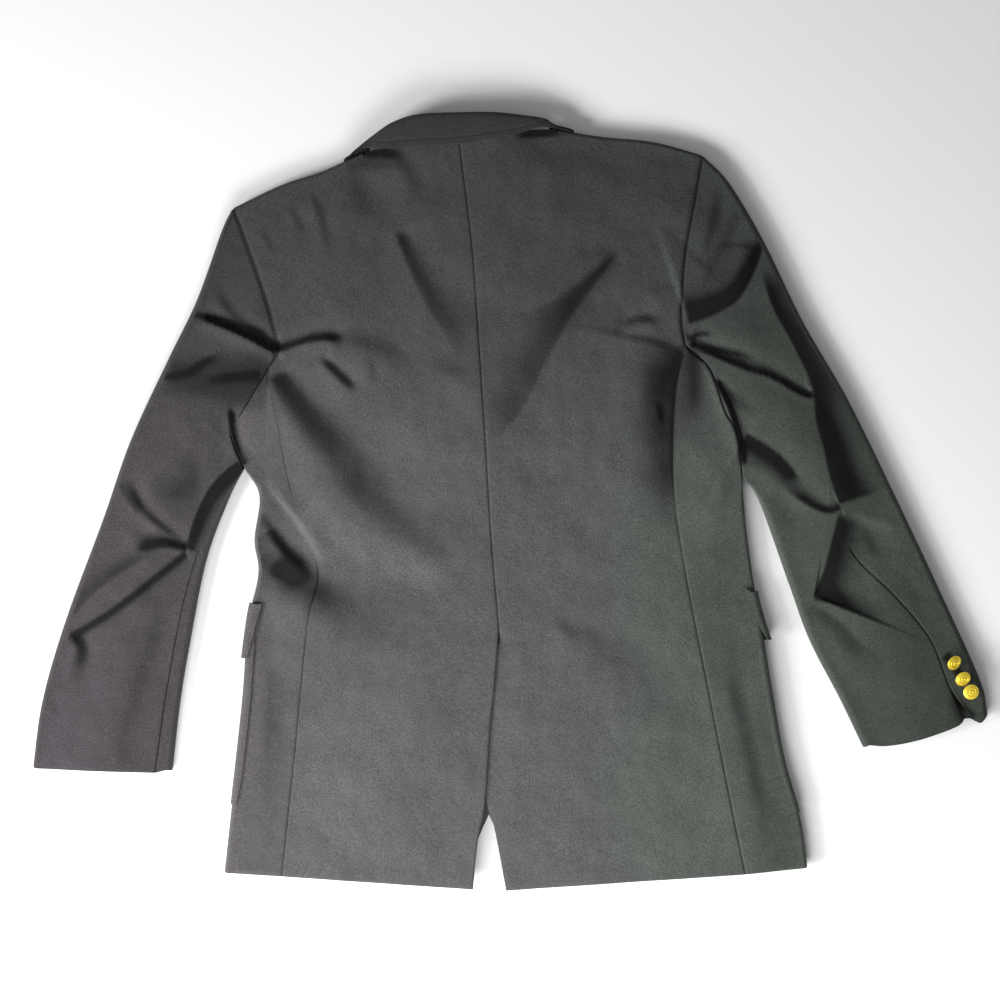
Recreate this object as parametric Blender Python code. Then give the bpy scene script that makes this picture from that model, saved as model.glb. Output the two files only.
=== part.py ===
"""A double-breasted blazer laid flat on its front, as its cut pieces of cloth.

+X is the viewer's right when the back is seen from above, +Y is up the back to the collar and
+Z is away from the surface. Left and right in the names are the wearer's, so with the back up
the wearer's left lies at -X. Sizes are in millimetres and become metres in finish.
"""
import math

import bpy
import numpy as np

MM = 0.001

# Cloth and how it lies
WALL = 1.5                 # shell, canvas and lining as one wall
COLLAR_WALL = 2.2          # two layers of cloth with canvas between
TRIM_WALL = 1.2            # patch pockets, flaps and lapels
SEAM_GAP = 0.3
HALF_GAP = 0.18            # each of two panels draws back this far from their seam
TOP = 12.0                 # height of the upper layer along every outer edge
PUFF = 5.0                 # how much higher it stands away from the edges
PUFF_REACH = 60.0
EDGE_RADIUS = 6.0          # the widest rolled edge, a sleeve's
BODY_LEVEL = 3.6           # the fronts' outer face, above their trim and buttons
OVERLAP_STEP = 1.8         # the right front lies this much above the left one
STEP_START = 55.0          # past the left front's edge
STEP_REACH = 60.0
SLEEVE_RAMP = 55.0         # length over which a sleeve comes down to the surface
BUTTON_RISE = 3.4          # the left cuff lies on its own buttons
BUTTON_RISE_REACH = 60.0

# How finely each line is divided
UPPER_STEPS = 6            # armhole, shoulder to side seam
LOWER_STEPS = 4            # armhole, side seam to armpit
SIDE_STEPS = 16            # side seam, armhole to hem
SLEEVE_STEPS = 13
BACK_STEPS = 8
SHOULDER_STEPS = 5         # the rest of the back's top edge is the neck
ARC_STEPS = 3
EDGE_SPREAD = 1.38         # keeps the side panels' rows level
FRONT_SPREAD = 0.9         # and the fronts' rows
SETTLE = 9                 # how soon a sleeve's rows lose the armhole's curve
HINDARM_STEP = 4           # the right sleeve's back seam starts at this step of the armhole
INSEAM_STEP = 3            # the left sleeve's front seam starts here on the lower armhole

# Lines of the cut, each a table of x, y from the middle of the garment
CENTRE_BACK = [(-52, 368), (-50, 354), (-39, 265), (-34, 204), (-25, 67), (-19, -33), (-11, -128)]
VENT_EDGE = [(-11, -128), (-15, -180), (-20, -230), (-25, -304), (-32, -339), (-37, -388)]
VENT_UNDERLAP = [(-12, -143), (-28, -156), (-36, -230), (-24, -300), (-15, -330), (-4, -389)]
NECK_LEFT = [(-52, 368), (-95, 361), (-148, 348)]
NECK_RIGHT = [(-52, 368), (-8, 370), (48, 372)]
SHOULDER_LEFT = [(-148, 348), (-164, 341), (-191, 329), (-230, 316), (-278, 293)]
SHOULDER_RIGHT = [(48, 372), (90, 365), (133, 361), (159, 356), (193, 346)]

ARMHOLE_UPPER_LEFT = [(-278, 293), (-264, 257), (-244, 201), (-233, 153), (-243, 130)]
ARMHOLE_LOWER_LEFT = [(-243, 130), (-267, 91), (-280, 72), (-266, 33)]
ARMHOLE_UPPER_RIGHT = [(193, 346), (186, 305), (175, 246), (171, 186), (175, 156)]
ARMHOLE_LOWER_RIGHT = [(175, 156), (200, 132), (214, 91), (228, 65), (232, 23)]
FRONT_ARMHOLE_UPPER_LEFT = [(-278, 293), (-250, 240), (-230, 180), (-226, 125)]
FRONT_ARMHOLE_LOWER_LEFT = [(-226, 125), (-238, 75), (-266, 33)]
FRONT_ARMHOLE_UPPER_RIGHT = [(193, 346), (166, 290), (155, 215), (160, 140)]
FRONT_ARMHOLE_LOWER_RIGHT = [(160, 140), (185, 75), (232, 23)]

SIDE_BACK_LEFT = [(-243, 130), (-232, 82), (-220, 17), (-192, -66), (-202, -124), (-215, -254),
                  (-228, -375)]
SIDE_BACK_RIGHT = [(175, 156), (164, 100), (163, 21), (173, -59), (202, -209), (223, -315),
                   (235, -373)]
SIDE_FRONT_LEFT = [(-226, 125), (-203, 17), (-196, -66), (-208, -254), (-218, -376)]
SIDE_FRONT_RIGHT = [(160, 140), (172, 21), (182, -59), (212, -209), (232, -374)]
BODY_EDGE_LEFT = [(-266, 33), (-251, 5), (-256, -39), (-252, -72), (-261, -119), (-267, -199),
                  (-278, -299), (-286, -372)]
BODY_EDGE_RIGHT = [(232, 23), (238, -39), (250, -119), (263, -199), (274, -259), (291, -319),
                   (298, -367)]

SLEEVE_OUTER_LEFT = [(-278, 293), (-289, 270), (-314, 201), (-343, 141), (-380, 61), (-408, -19),
                     (-445, -119), (-468, -199), (-478, -267)]
SLEEVE_INNER_LEFT = [(-266, 33), (-282, 1), (-304, -59), (-320, -139), (-330, -199), (-338, -270)]
SLEEVE_SEAM_LEFT = [(-291, 8), (-305, -30), (-319, -74), (-329, -113), (-343, -189), (-355, -272)]
SLEEVE_OUTER_RIGHT = [(193, 346), (220, 318), (254, 261), (293, 181), (339, 101), (388, 1),
                      (435, -99), (471, -179), (479, -212)]
SLEEVE_INNER_RIGHT = [(232, 23), (249, 1), (278, -79), (300, -139), (331, -199), (354, -247)]
SLEEVE_SEAM_RIGHT = [(229, 193), (262, 168), (290, 142), (310, 87), (331, -4), (342, -51),
                     (384, -94), (420, -138), (440, -187), (460, -217)]
FLOOR_SEAM_LEFT = [(-310, -20), (-372, -139), (-420, -270)]
FLOOR_SEAM_RIGHT = [(240, 60), (278, -30), (325, -139), (378, -243)]

# The fronts: the line where each lapel rolls, then the front's own edge down to the hem. They
# cross at the chest and waist, and spread again below the vent, where nothing dark shows through.
FRONT_EDGE_LEFT = [(-148, 348), (-60, 207), (40, 42), (61, 5), (66, -120), (30, -225), (-20, -312),
                   (-48, -381)]
FRONT_EDGE_RIGHT = [(48, 372), (0, 258), (-70, 92), (-97, 5), (-95, -120), (-62, -225), (-22, -312),
                    (8, -381)]
LAPEL_OUTER_LEFT = [(-128, 300), (-160, 265), (-137, 232), (-122, 150), (-62, 60), (38, 30)]
LAPEL_OUTER_RIGHT = [(34, 322), (72, 296), (62, 262), (40, 240), (10, 205), (-22, 190)]

# Folds of the upper layer: a row per fold, a bent line with its width each side and height
FOLDS = [
    # x0, y0, x1, y1, x2, y2, width, height
    (-233, 126, -190, 74, -42, -69, 20, -3.5),
    (-210, 41, -160, -20, -50, -76, 22, 4.5),
    (110, 251, 20, 180, -13, 61, 26, -3.0),
    (-113, 271, -80, 230, -53, 181, 12, -2.5),
    (-243, -55, -150, -95, -43, -119, 20, 3.0),
    (-190, -179, -110, -186, -57, -159, 24, -2.5),
    (23, -99, 90, -139, 183, -239, 24, -2.5),
    (-271, 29, -310, -20, -443, -134, 12, -4.5),
    (-262, 50, -300, 0, -430, -108, 14, 6.5),
    (-353, 123, -300, 150, -254, 149, 11, 4.5),
    (-315, 187, -270, 165, -232, 149, 12, 5.0),
    (-330, 28, -350, 10, -390, 28, 16, 3.5),
    (-343, -93, -365, -160, -392, -258, 20, -3.0),
    (248, 265, 215, 203, 177, 172, 14, 5.0),
    (250, 241, 300, 142, 331, -4, 13, 5.5),
    (182, 147, 240, 140, 301, 105, 13, 5.5),
    (226, 73, 260, 40, 330, -6, 14, 5.0),
    (309, -114, 340, -145, 369, -158, 14, 4.0),
    (331, -22, 325, -70, 305, -97, 16, 4.5),
]

# Buttons
CUFF_BUTTON_RADIUS = 7.5
FRONT_BUTTON_RADIUS = 10.0
CUFF_BUTTON_HEIGHT = 6.0
FLAT_BUTTON_HEIGHT = 3.0
BUTTON_SIDES = 10
CUFF_BUTTONS_RIGHT = [(442, -162), (451, -178), (459, -193)]
CUFF_BUTTONS_LEFT = [(-444, -192), (-448, -209), (-452, -226)]
FRONT_BUTTONS = [(-120, 105), (92, 105), (-74, -8), (36, -8), (-67, -122), (45, -122)]

ON_RIGHT_FRONT = 60         # buttons past this x are on the right front

# Trim on the side panels and fronts, by its rows down the side seam
POCKET_ROWS = {"left": (7.8, 8, 9, 10, 11, 12, 13, 14), "right": (7.5, 8, 9, 10, 11, 12, 13, 14, 14.3)}
FLAP_ROWS = {"left": (7.35, 8, 9, 9.35), "right": (6.5, 7, 8, 8.45)}
PATCH_REACH = 4.0                           # how far the patch shows past the rolled edge
FLAP_FLARE = {"left": 5.0, "right": 11.0}   # the flap's free corner stands away

CLOTH = ("cloth", (0.030, 0.029, 0.031), 0.9, 0.0)
BRASS = ("buttons", (0.75, 0.52, 0.12), 0.3, 1.0)


def smooth_line(table, steps, spread=1.0):
    """Points on a smooth line through a table's own points, evenly spaced where spread is 1."""
    points = np.array(table, float)
    padded = np.vstack([2 * points[0] - points[1], points, 2 * points[-1] - points[-2]])
    share = np.linspace(0, 1, 17)[:-1, None]
    fine = []
    for before, start, end, after in zip(padded[:-3], padded[1:-2], padded[2:-1], padded[3:]):
        turn = 2 * before - 5 * start + 4 * end - after
        twist = 3 * start - before - 3 * end + after
        fine.append(start + 0.5 * ((end - before) * share + turn * share ** 2 + twist * share ** 3))
    fine = np.vstack(fine + [points[-1:]])
    lengths = np.linalg.norm(np.diff(fine, axis=0), axis=1)
    along = np.concatenate([[0], np.cumsum(lengths)])
    wanted = along[-1] * np.linspace(0, 1, steps + 1) ** spread
    return np.column_stack([np.interp(wanted, along, fine[:, axis]) for axis in (0, 1)])


def smooth_step(value):
    value = np.clip(value, 0, 1)
    return value * value * (3 - 2 * value)


def join(*lines):
    """One line from several that follow on, with no point twice."""
    return np.vstack([lines[0]] + [line[1:] for line in lines[1:]])


def distance_to(line, x, y):
    """Distance in plan from each place to the nearest stretch of a line."""
    place = np.stack([x, y], -1)[..., None, :]
    start = line[:-1]
    run = line[1:] - start
    share = np.clip(((place - start) * run).sum(-1) / (run * run).sum(-1), 0, 1)
    return np.linalg.norm(place - start - share[..., None] * run, axis=-1).min(-1)


def outward(line, side):
    """Unit normals of a line, to its left when side is 1 and to its right when -1."""
    run = np.gradient(line, axis=0)
    run /= np.linalg.norm(run, axis=1)[:, None]
    return np.column_stack([-run[:, 1], run[:, 0]]) * side


# The rolled edges of the outline, shoulder and sleeve in one so that they meet smoothly
shoulder_left = smooth_line(SHOULDER_LEFT, SHOULDER_STEPS)
shoulder_right = smooth_line(SHOULDER_RIGHT, SHOULDER_STEPS)
sleeve_outer_left = smooth_line(SLEEVE_OUTER_LEFT, SLEEVE_STEPS)
sleeve_outer_right = smooth_line(SLEEVE_OUTER_RIGHT, SLEEVE_STEPS)
sleeve_inner_left = smooth_line(SLEEVE_INNER_LEFT, SLEEVE_STEPS)
sleeve_inner_right = smooth_line(SLEEVE_INNER_RIGHT, SLEEVE_STEPS)
body_edge_left = smooth_line(BODY_EDGE_LEFT, SIDE_STEPS, EDGE_SPREAD)
body_edge_right = smooth_line(BODY_EDGE_RIGHT, SIDE_STEPS, EDGE_SPREAD)
outer_normals_left = outward(join(shoulder_left, sleeve_outer_left), -1)
outer_normals_right = outward(join(shoulder_right, sleeve_outer_right), 1)

armhole_upper_left = smooth_line(ARMHOLE_UPPER_LEFT, UPPER_STEPS)
armhole_lower_left = smooth_line(ARMHOLE_LOWER_LEFT, LOWER_STEPS)
armhole_upper_right = smooth_line(ARMHOLE_UPPER_RIGHT, UPPER_STEPS)
armhole_lower_right = smooth_line(ARMHOLE_LOWER_RIGHT, LOWER_STEPS)
front_upper_left = smooth_line(FRONT_ARMHOLE_UPPER_LEFT, UPPER_STEPS)
front_lower_left = smooth_line(FRONT_ARMHOLE_LOWER_LEFT, LOWER_STEPS)
front_upper_right = smooth_line(FRONT_ARMHOLE_UPPER_RIGHT, UPPER_STEPS)
front_lower_right = smooth_line(FRONT_ARMHOLE_LOWER_RIGHT, LOWER_STEPS)

ROLLED_EDGES = [
    join(shoulder_left, sleeve_outer_left),
    join(shoulder_right, sleeve_outer_right),
    sleeve_inner_left,
    sleeve_inner_right,
    body_edge_left,
    body_edge_right,
]
ARMHOLES = [
    join(armhole_upper_left, armhole_lower_left),
    join(armhole_upper_right, armhole_lower_right),
    join(front_upper_left, front_lower_left),
    join(front_upper_right, front_lower_right),
]


def fold_height(x, y):
    """Height that the folds add: each is a bent line with a soft rise or dip across it."""
    total = np.zeros_like(x)
    share = np.linspace(0, 1, 13)[:, None]
    for x0, y0, x1, y1, x2, y2, width, height in FOLDS:
        bend = (1 - share) ** 2 * (x0, y0) + 2 * share * (1 - share) * (x1, y1) + share ** 2 * (x2, y2)
        total += height * np.exp(-((distance_to(bend, x, y) / width) ** 2))
    return total


def top_height(x, y):
    """Height of the upper layer's outer face."""
    edge = np.min([distance_to(line, x, y) for line in ROLLED_EDGES], axis=0) - EDGE_RADIUS
    return TOP + PUFF * smooth_step(edge / PUFF_REACH) + fold_height(x, y) * smooth_step(edge / 30)


def body_level(x, y):
    return np.full_like(x, BODY_LEVEL)


def sleeve_level(x, y):
    """Height of a sleeve's lower face: on the surface, but raised at the armhole and its buttons."""
    reach = np.min([distance_to(line, x, y) for line in ARMHOLES], axis=0)
    ramp = BODY_LEVEL * (1 - smooth_step(reach / SLEEVE_RAMP))
    row = np.array(CUFF_BUTTONS_LEFT, float)
    near = 1 - smooth_step((distance_to(row, x, y) - 2 * CUFF_BUTTON_RADIUS) / BUTTON_RISE_REACH)
    return np.maximum(ramp, BUTTON_RISE * near)


def right_front_level(x, y):
    """The right front steps up where the left front lies under it."""
    edge = np.array(FRONT_EDGE_LEFT[::-1], float)
    cover = np.interp(y, edge[:, 1], edge[:, 0])
    return BODY_LEVEL + OVERLAP_STEP * (1 - smooth_step((x - cover - STEP_START) / STEP_REACH))


def patch_grid(first, last, start, end, settle=1):
    """Points in plan between four lines: first and last run along, start and end across.

    settle is how soon the rows lose the bend of the start and end lines.
    """
    along = np.linspace(0, 1, len(first))[:, None, None]
    across = np.linspace(0, 1, len(start))[None, :, None]
    sides = (1 - across) * first[:, None] + across * last[:, None]
    start_bend = start[None] - ((1 - across) * first[0] + across * last[0])
    end_bend = end[None] - ((1 - across) * first[-1] + across * last[-1])
    return sides + (1 - along) ** settle * start_bend + along ** settle * end_bend


def straight(start, end, steps):
    share = np.linspace(0, 1, steps + 1)[:, None]
    return (1 - share) * start + share * end


def lift(plan, height, up):
    """A grid in plan set at its height, with its outward normals."""
    points = np.dstack([plan, height(plan[..., 0], plan[..., 1])])
    normals = np.zeros_like(points)
    normals[..., 2] = up
    return points, normals


def rolled_edge(edge, normals, level, closing):
    """The half round of cloth along an edge, from the upper face to the lower one.

    closing is how open the roll is at each row, 0 where it meets the armpit.
    """
    lower = level(edge[:, 0], edge[:, 1])
    half = (TOP - lower) / 2
    middle = edge - normals * (half * closing)[:, None]
    angle = np.linspace(math.pi / 2, -math.pi / 2, ARC_STEPS + 1)[None, :, None]
    reach = (half * closing)[:, None, None] * np.cos(angle)
    plan = middle[:, None] + normals[:, None] * reach
    height = (lower + half)[:, None, None] + half[:, None, None] * np.sin(angle)
    points = np.dstack([plan, height])
    across = normals[:, None] * np.cos(angle)
    return points, np.dstack([across, np.broadcast_to(np.sin(angle), height.shape)]), middle


def side_by_side(*strips):
    """Grids that follow on across, as one, with no column twice."""
    points = np.hstack([strips[0][0]] + [strip[0][:, 1:] for strip in strips[1:]])
    normals = np.hstack([strips[0][1]] + [strip[1][:, 1:] for strip in strips[1:]])
    return points, normals


def draw_in(points, edges):
    """Pull the named edges of a grid in by half a seam's gap, square to the edge in the cloth."""
    points = points.copy()
    for edge in edges:
        turned = points if edge in ("start", "end") else points.swapaxes(0, 1)
        rim, inner = (turned[0], turned[1]) if edge in ("start", "first") else (turned[-1], turned[-2])
        along = np.gradient(rim, axis=0)
        along /= np.linalg.norm(along, axis=1)[:, None]
        pull = inner - rim
        pull -= along * (pull * along).sum(1)[:, None]
        rim += pull * HALF_GAP / np.linalg.norm(pull, axis=1)[:, None]
    return points


def finish(name, kind, vertices, faces):
    """One named object from vertices in millimetres and its faces, with its material."""
    mesh = bpy.data.meshes.new(name)
    mesh.from_pydata([tuple(point * MM) for point in vertices], [], faces)
    mesh.update()
    slot, colour, roughness, metallic = kind
    material = bpy.data.materials.get(slot) or bpy.data.materials.new(slot)
    material.use_nodes = True
    shader = material.node_tree.nodes["Principled BSDF"]
    shader.inputs["Base Color"].default_value = colour + (1,)
    shader.inputs["Roughness"].default_value = roughness
    shader.inputs["Metallic"].default_value = metallic
    mesh.materials.append(material)
    thing = bpy.data.objects.new(name, mesh)
    bpy.context.scene.collection.objects.link(thing)
    return thing


def signed_volume(vertices, faces):
    total = 0.0
    for face in faces:
        anchor = vertices[face[0]]
        for second, third in zip(face[1:-1], face[2:]):
            total += np.dot(anchor, np.cross(vertices[second], vertices[third]))
    return total


def build_slab(name, points, normals, wall=WALL, away=0.0, kind=CLOTH):
    """A wall of cloth: its outer face lies 'away' above the grid and its inner face below that."""
    rows, columns = points.shape[:2]
    outer = points + normals * away
    inner = points + normals * (away - wall)
    vertices = np.vstack([outer.reshape(-1, 3), inner.reshape(-1, 3)])
    number = np.arange(rows * columns).reshape(rows, columns)
    shift = rows * columns
    faces = []
    for row in range(rows - 1):
        for column in range(columns - 1):
            corner = [number[row, column], number[row + 1, column],
                      number[row + 1, column + 1], number[row, column + 1]]
            for first, second, third in ((0, 1, 2), (0, 2, 3)):
                faces.append([corner[first], corner[second], corner[third]])
                faces.append([corner[third] + shift, corner[second] + shift, corner[first] + shift])
    rim = list(number[0, :]) + list(number[1:, -1]) + list(number[-1, -2::-1]) + list(number[-2:0:-1, 0])
    for here, after in zip(rim, rim[1:] + rim[:1]):
        faces.append([here, after, after + shift])
        faces.append([here, after + shift, here + shift])
    faces = [[int(index) for index in face] for face in faces]
    if signed_volume(vertices, faces) < 0:
        faces = [face[::-1] for face in faces]
    return finish(name, kind, vertices, faces)


def build_button(name, x, y, bottom, height, radius):
    """A low round button with a smaller back, turned about its own upright axis."""
    profile = [(0.7, 0.0), (1.0, 0.5), (0.7, 1.0)]
    vertices = []
    for share, rise in profile:
        for step in range(BUTTON_SIDES):
            angle = 2 * math.pi * step / BUTTON_SIDES
            vertices.append((x + radius * share * math.cos(angle),
                             y + radius * share * math.sin(angle), bottom + height * rise))
    faces = [list(range(BUTTON_SIDES))[::-1]]
    for ring in range(len(profile) - 1):
        for step in range(BUTTON_SIDES):
            here = ring * BUTTON_SIDES + step
            after = ring * BUTTON_SIDES + (step + 1) % BUTTON_SIDES
            faces.append([here, after, after + BUTTON_SIDES, here + BUTTON_SIDES])
    last = (len(profile) - 1) * BUTTON_SIDES
    faces.append([last + step for step in range(BUTTON_SIDES)])
    button = finish(name, BRASS, np.array(vertices), faces)
    button.data.shade_smooth()
    button.data.set_sharp_from_angle(angle=math.radians(40))
    return button


def clear_scene():
    for thing in list(bpy.data.objects):
        bpy.data.objects.remove(thing, do_unlink=True)


def half_roll(edge, normals):
    """Where a rolled edge leaves the upper face: in from the outline by half the body's depth."""
    return edge - normals * (TOP - BODY_LEVEL) / 2


def opening_roll():
    """A rolled edge starts closed at the armpit and opens over its first two rows."""
    return np.clip(np.arange(max(SIDE_STEPS, SLEEVE_STEPS) + 1) / 2, 0, 1)


def wrapped_panel(seam, edge, normals, start_top, floor_seam, start_floor, level, closing):
    """A panel from its seam on the upper side round a rolled edge to its seam on the floor side."""
    roll_points, roll_normals, middle = rolled_edge(edge, normals, level, closing)
    end_top = straight(seam[-1], middle[-1], len(start_top) - 1)
    start_top = start_top.copy()
    start_top[-1] = middle[0]
    upper = lift(patch_grid(seam, middle, start_top, end_top, SETTLE), top_height, 1)
    end_floor = straight(middle[-1], floor_seam[-1], len(start_floor) - 1)
    start_floor = start_floor.copy()
    start_floor[0] = middle[0]
    lower = lift(patch_grid(middle, floor_seam, start_floor, end_floor, SETTLE), level, -1)
    return side_by_side(upper, (roll_points, roll_normals), lower)


def pick_rows(grid, rows):
    """Rows of a grid at whole or part steps."""
    below = np.clip(np.floor(rows).astype(int), 0, len(grid) - 2)
    share = (np.array(rows) - below)[:, None, None]
    return (1 - share) * grid[below] + share * grid[below + 1]


def trim_grid(side, front, rows):
    """The part of a side panel and its front that a pocket or flap lies on."""
    rows = np.array(rows, float)
    first = LOWER_STEPS
    front_rows = rows + ARC_STEPS + UPPER_STEPS
    side_points, side_normals = (pick_rows(grid, rows) for grid in side)
    front_points, front_normals = (pick_rows(grid, front_rows) for grid in front)
    reach = side_points[:, first - 1] - side_points[:, first]
    length = np.linalg.norm(reach[:, :2], axis=1)[:, None]
    start = side_points[:, first] + reach * PATCH_REACH / length
    points = np.concatenate([start[:, None], side_points[:, first:], front_points[:, 1:3]], axis=1)
    looks = [side_normals[:, first - 1:first], side_normals[:, first:], front_normals[:, 1:3]]
    normals = np.concatenate(looks, axis=1)
    return points, normals


def seam_from(point, table, steps):
    """A seam that starts at a step of the armhole and goes on through its own points."""
    return smooth_line([tuple(point)] + table, steps)


def build_body(side):
    """Back, side panel, front, lapel, pocket and flap of one side."""
    left = side == "left"
    armhole_upper = armhole_upper_left if left else armhole_upper_right
    armhole_lower = armhole_lower_left if left else armhole_lower_right
    front_upper = (front_upper_left if left else front_upper_right).copy()
    front_lower = front_lower_left if left else front_lower_right
    shoulder = shoulder_left if left else shoulder_right
    shoulder_normals = (outer_normals_left if left else outer_normals_right)[:SHOULDER_STEPS + 1]
    shoulder_top = half_roll(shoulder, shoulder_normals)
    side_back = smooth_line(SIDE_BACK_LEFT if left else SIDE_BACK_RIGHT, SIDE_STEPS)
    side_front = smooth_line(SIDE_FRONT_LEFT if left else SIDE_FRONT_RIGHT, SIDE_STEPS)
    edge = body_edge_left if left else body_edge_right
    edge_normals = outward(edge, -1 if left else 1)

    rows = UPPER_STEPS + SIDE_STEPS
    vent_steps = 8
    centre = smooth_line(CENTRE_BACK, rows - vent_steps)
    vent = smooth_line(VENT_EDGE, vent_steps)
    if not left:
        dart = smooth_line([CENTRE_BACK[-1], VENT_UNDERLAP[0]], 1)
        vent = join(dart, smooth_line(VENT_UNDERLAP, vent_steps - 1))
    neck = smooth_line(NECK_LEFT if left else NECK_RIGHT, BACK_STEPS - SHOULDER_STEPS)
    neck[-1] = shoulder_top[0]
    upper = armhole_upper.copy()
    upper[0] = shoulder_top[-1]
    outer_line = join(upper, side_back)
    inner_line = join(centre, vent)
    top_line = join(neck, shoulder_top)[::-1]
    hem = straight(outer_line[-1], inner_line[-1], BACK_STEPS)
    points, normals = lift(patch_grid(outer_line, inner_line, top_line, hem), top_height, 1)
    if not left:
        points[..., 2] -= underlap_drop(points[..., 0], points[..., 1])
    build_slab("back_" + side, draw_in(points, ("start", "first", "last")), normals)

    side_panel = wrapped_panel(side_back, edge, edge_normals, armhole_lower, side_front,
                               front_lower[::-1], body_level, opening_roll()[:SIDE_STEPS + 1])
    build_slab("side_" + side, draw_in(side_panel[0], ("start", "first", "last")), side_panel[1])

    level = body_level if left else right_front_level
    open_roll = np.ones(len(shoulder))
    roll_points, roll_normals, middle = rolled_edge(shoulder, shoulder_normals, level, open_roll)
    front_upper[0] = middle[-1]
    front_outer = join(front_upper, side_front)
    front_edge = smooth_line(FRONT_EDGE_LEFT if left else FRONT_EDGE_RIGHT, rows, FRONT_SPREAD)
    front_edge[0] = middle[0]
    hem = straight(front_outer[-1], front_edge[-1], SHOULDER_STEPS)
    points, normals = lift(patch_grid(front_outer, front_edge, middle[::-1], hem), level, -1)
    roll_points = roll_points[::-1].transpose(1, 0, 2)
    roll_normals = roll_normals[::-1].transpose(1, 0, 2)
    points = np.vstack([roll_points, points[1:]])
    normals = np.vstack([roll_normals, normals[1:]])
    build_slab("front_" + side, draw_in(points, ("start", "first")), normals)

    trim = trim_grid(side_panel, (points, normals), POCKET_ROWS[side])
    build_slab("pocket_" + side, *trim, wall=TRIM_WALL, away=SEAM_GAP + TRIM_WALL)
    trim_points, trim_normals = trim_grid(side_panel, (points, normals), FLAP_ROWS[side])
    flap_rows = np.array(FLAP_ROWS[side])
    down = (flap_rows - flap_rows[0]) / (flap_rows[-1] - flap_rows[0])
    fade = np.linspace(1, 0, trim_points.shape[1])
    flare = FLAP_FLARE[side] * down[:, None] ** 2 * fade
    trim_points[..., :2] += edge_normals[SIDE_STEPS // 2] * flare[..., None]
    build_slab("flap_" + side, trim_points, trim_normals, wall=TRIM_WALL, away=2 * (SEAM_GAP + TRIM_WALL))

    roll = smooth_line(front_edge_part(side), 7)
    outer = smooth_line(LAPEL_OUTER_LEFT if left else LAPEL_OUTER_RIGHT, 7)
    lapel = patch_grid(roll, outer, straight(roll[0], outer[0], 3), straight(roll[-1], outer[-1], 3))
    points, normals = lift(lapel, body_level, -1)
    build_slab("lapel_" + side, points, normals, wall=TRIM_WALL, away=SEAM_GAP + TRIM_WALL)


def front_edge_part(side):
    """The stretch of a front's edge that its lapel rolls over, below the collar's end."""
    if side == "left":
        return [(-118, 300), (-60, 207), (40, 42), (52, 22)]
    return [(28, 322), (0, 258), (-20, 212), (-28, 194)]


def underlap_drop(x, y):
    """The right back runs under the left one below the top of the vent."""
    cut = np.array(VENT_EDGE[::-1], float)
    beside = np.interp(y, cut[:, 1], cut[:, 0])
    below = smooth_step((VENT_EDGE[0][1] - y) / 12)
    return (WALL + 2 * SEAM_GAP) * below * (1 - smooth_step((x - beside - 3) / 26))


def build_sleeve(side):
    """The top and under sleeve of one side, each round one edge, meeting at two seams."""
    left = side == "left"
    upper = (armhole_upper_left if left else armhole_upper_right)
    lower = (armhole_lower_left if left else armhole_lower_right)
    front_upper = (front_upper_left if left else front_upper_right)
    front_lower = (front_lower_left if left else front_lower_right)
    outer = sleeve_outer_left if left else sleeve_outer_right
    inner = sleeve_inner_left if left else sleeve_inner_right
    outer_normals = (outer_normals_left if left else outer_normals_right)[SHOULDER_STEPS:]
    inner_normals = outward(inner, 1 if left else -1)
    hole = join(upper, lower)
    split = UPPER_STEPS + INSEAM_STEP if left else HINDARM_STEP
    seam = seam_from(hole[split], SLEEVE_SEAM_LEFT if left else SLEEVE_SEAM_RIGHT, SLEEVE_STEPS)
    floor_seam = seam_from(front_upper[-1], FLOOR_SEAM_LEFT if left else FLOOR_SEAM_RIGHT, SLEEVE_STEPS)
    closing = opening_roll()[:SLEEVE_STEPS + 1]
    top = wrapped_panel(seam, outer, outer_normals, hole[:split + 1][::-1], floor_seam, front_upper,
                        sleeve_level, np.ones_like(closing))
    under = wrapped_panel(seam, inner, inner_normals, hole[split:], floor_seam, front_lower[::-1],
                          sleeve_level, closing)
    build_slab("sleeve_top_" + side, draw_in(top[0], ("start", "first", "last")), top[1])
    build_slab("sleeve_under_" + side, draw_in(under[0], ("start", "first", "last")), under[1])


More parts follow.
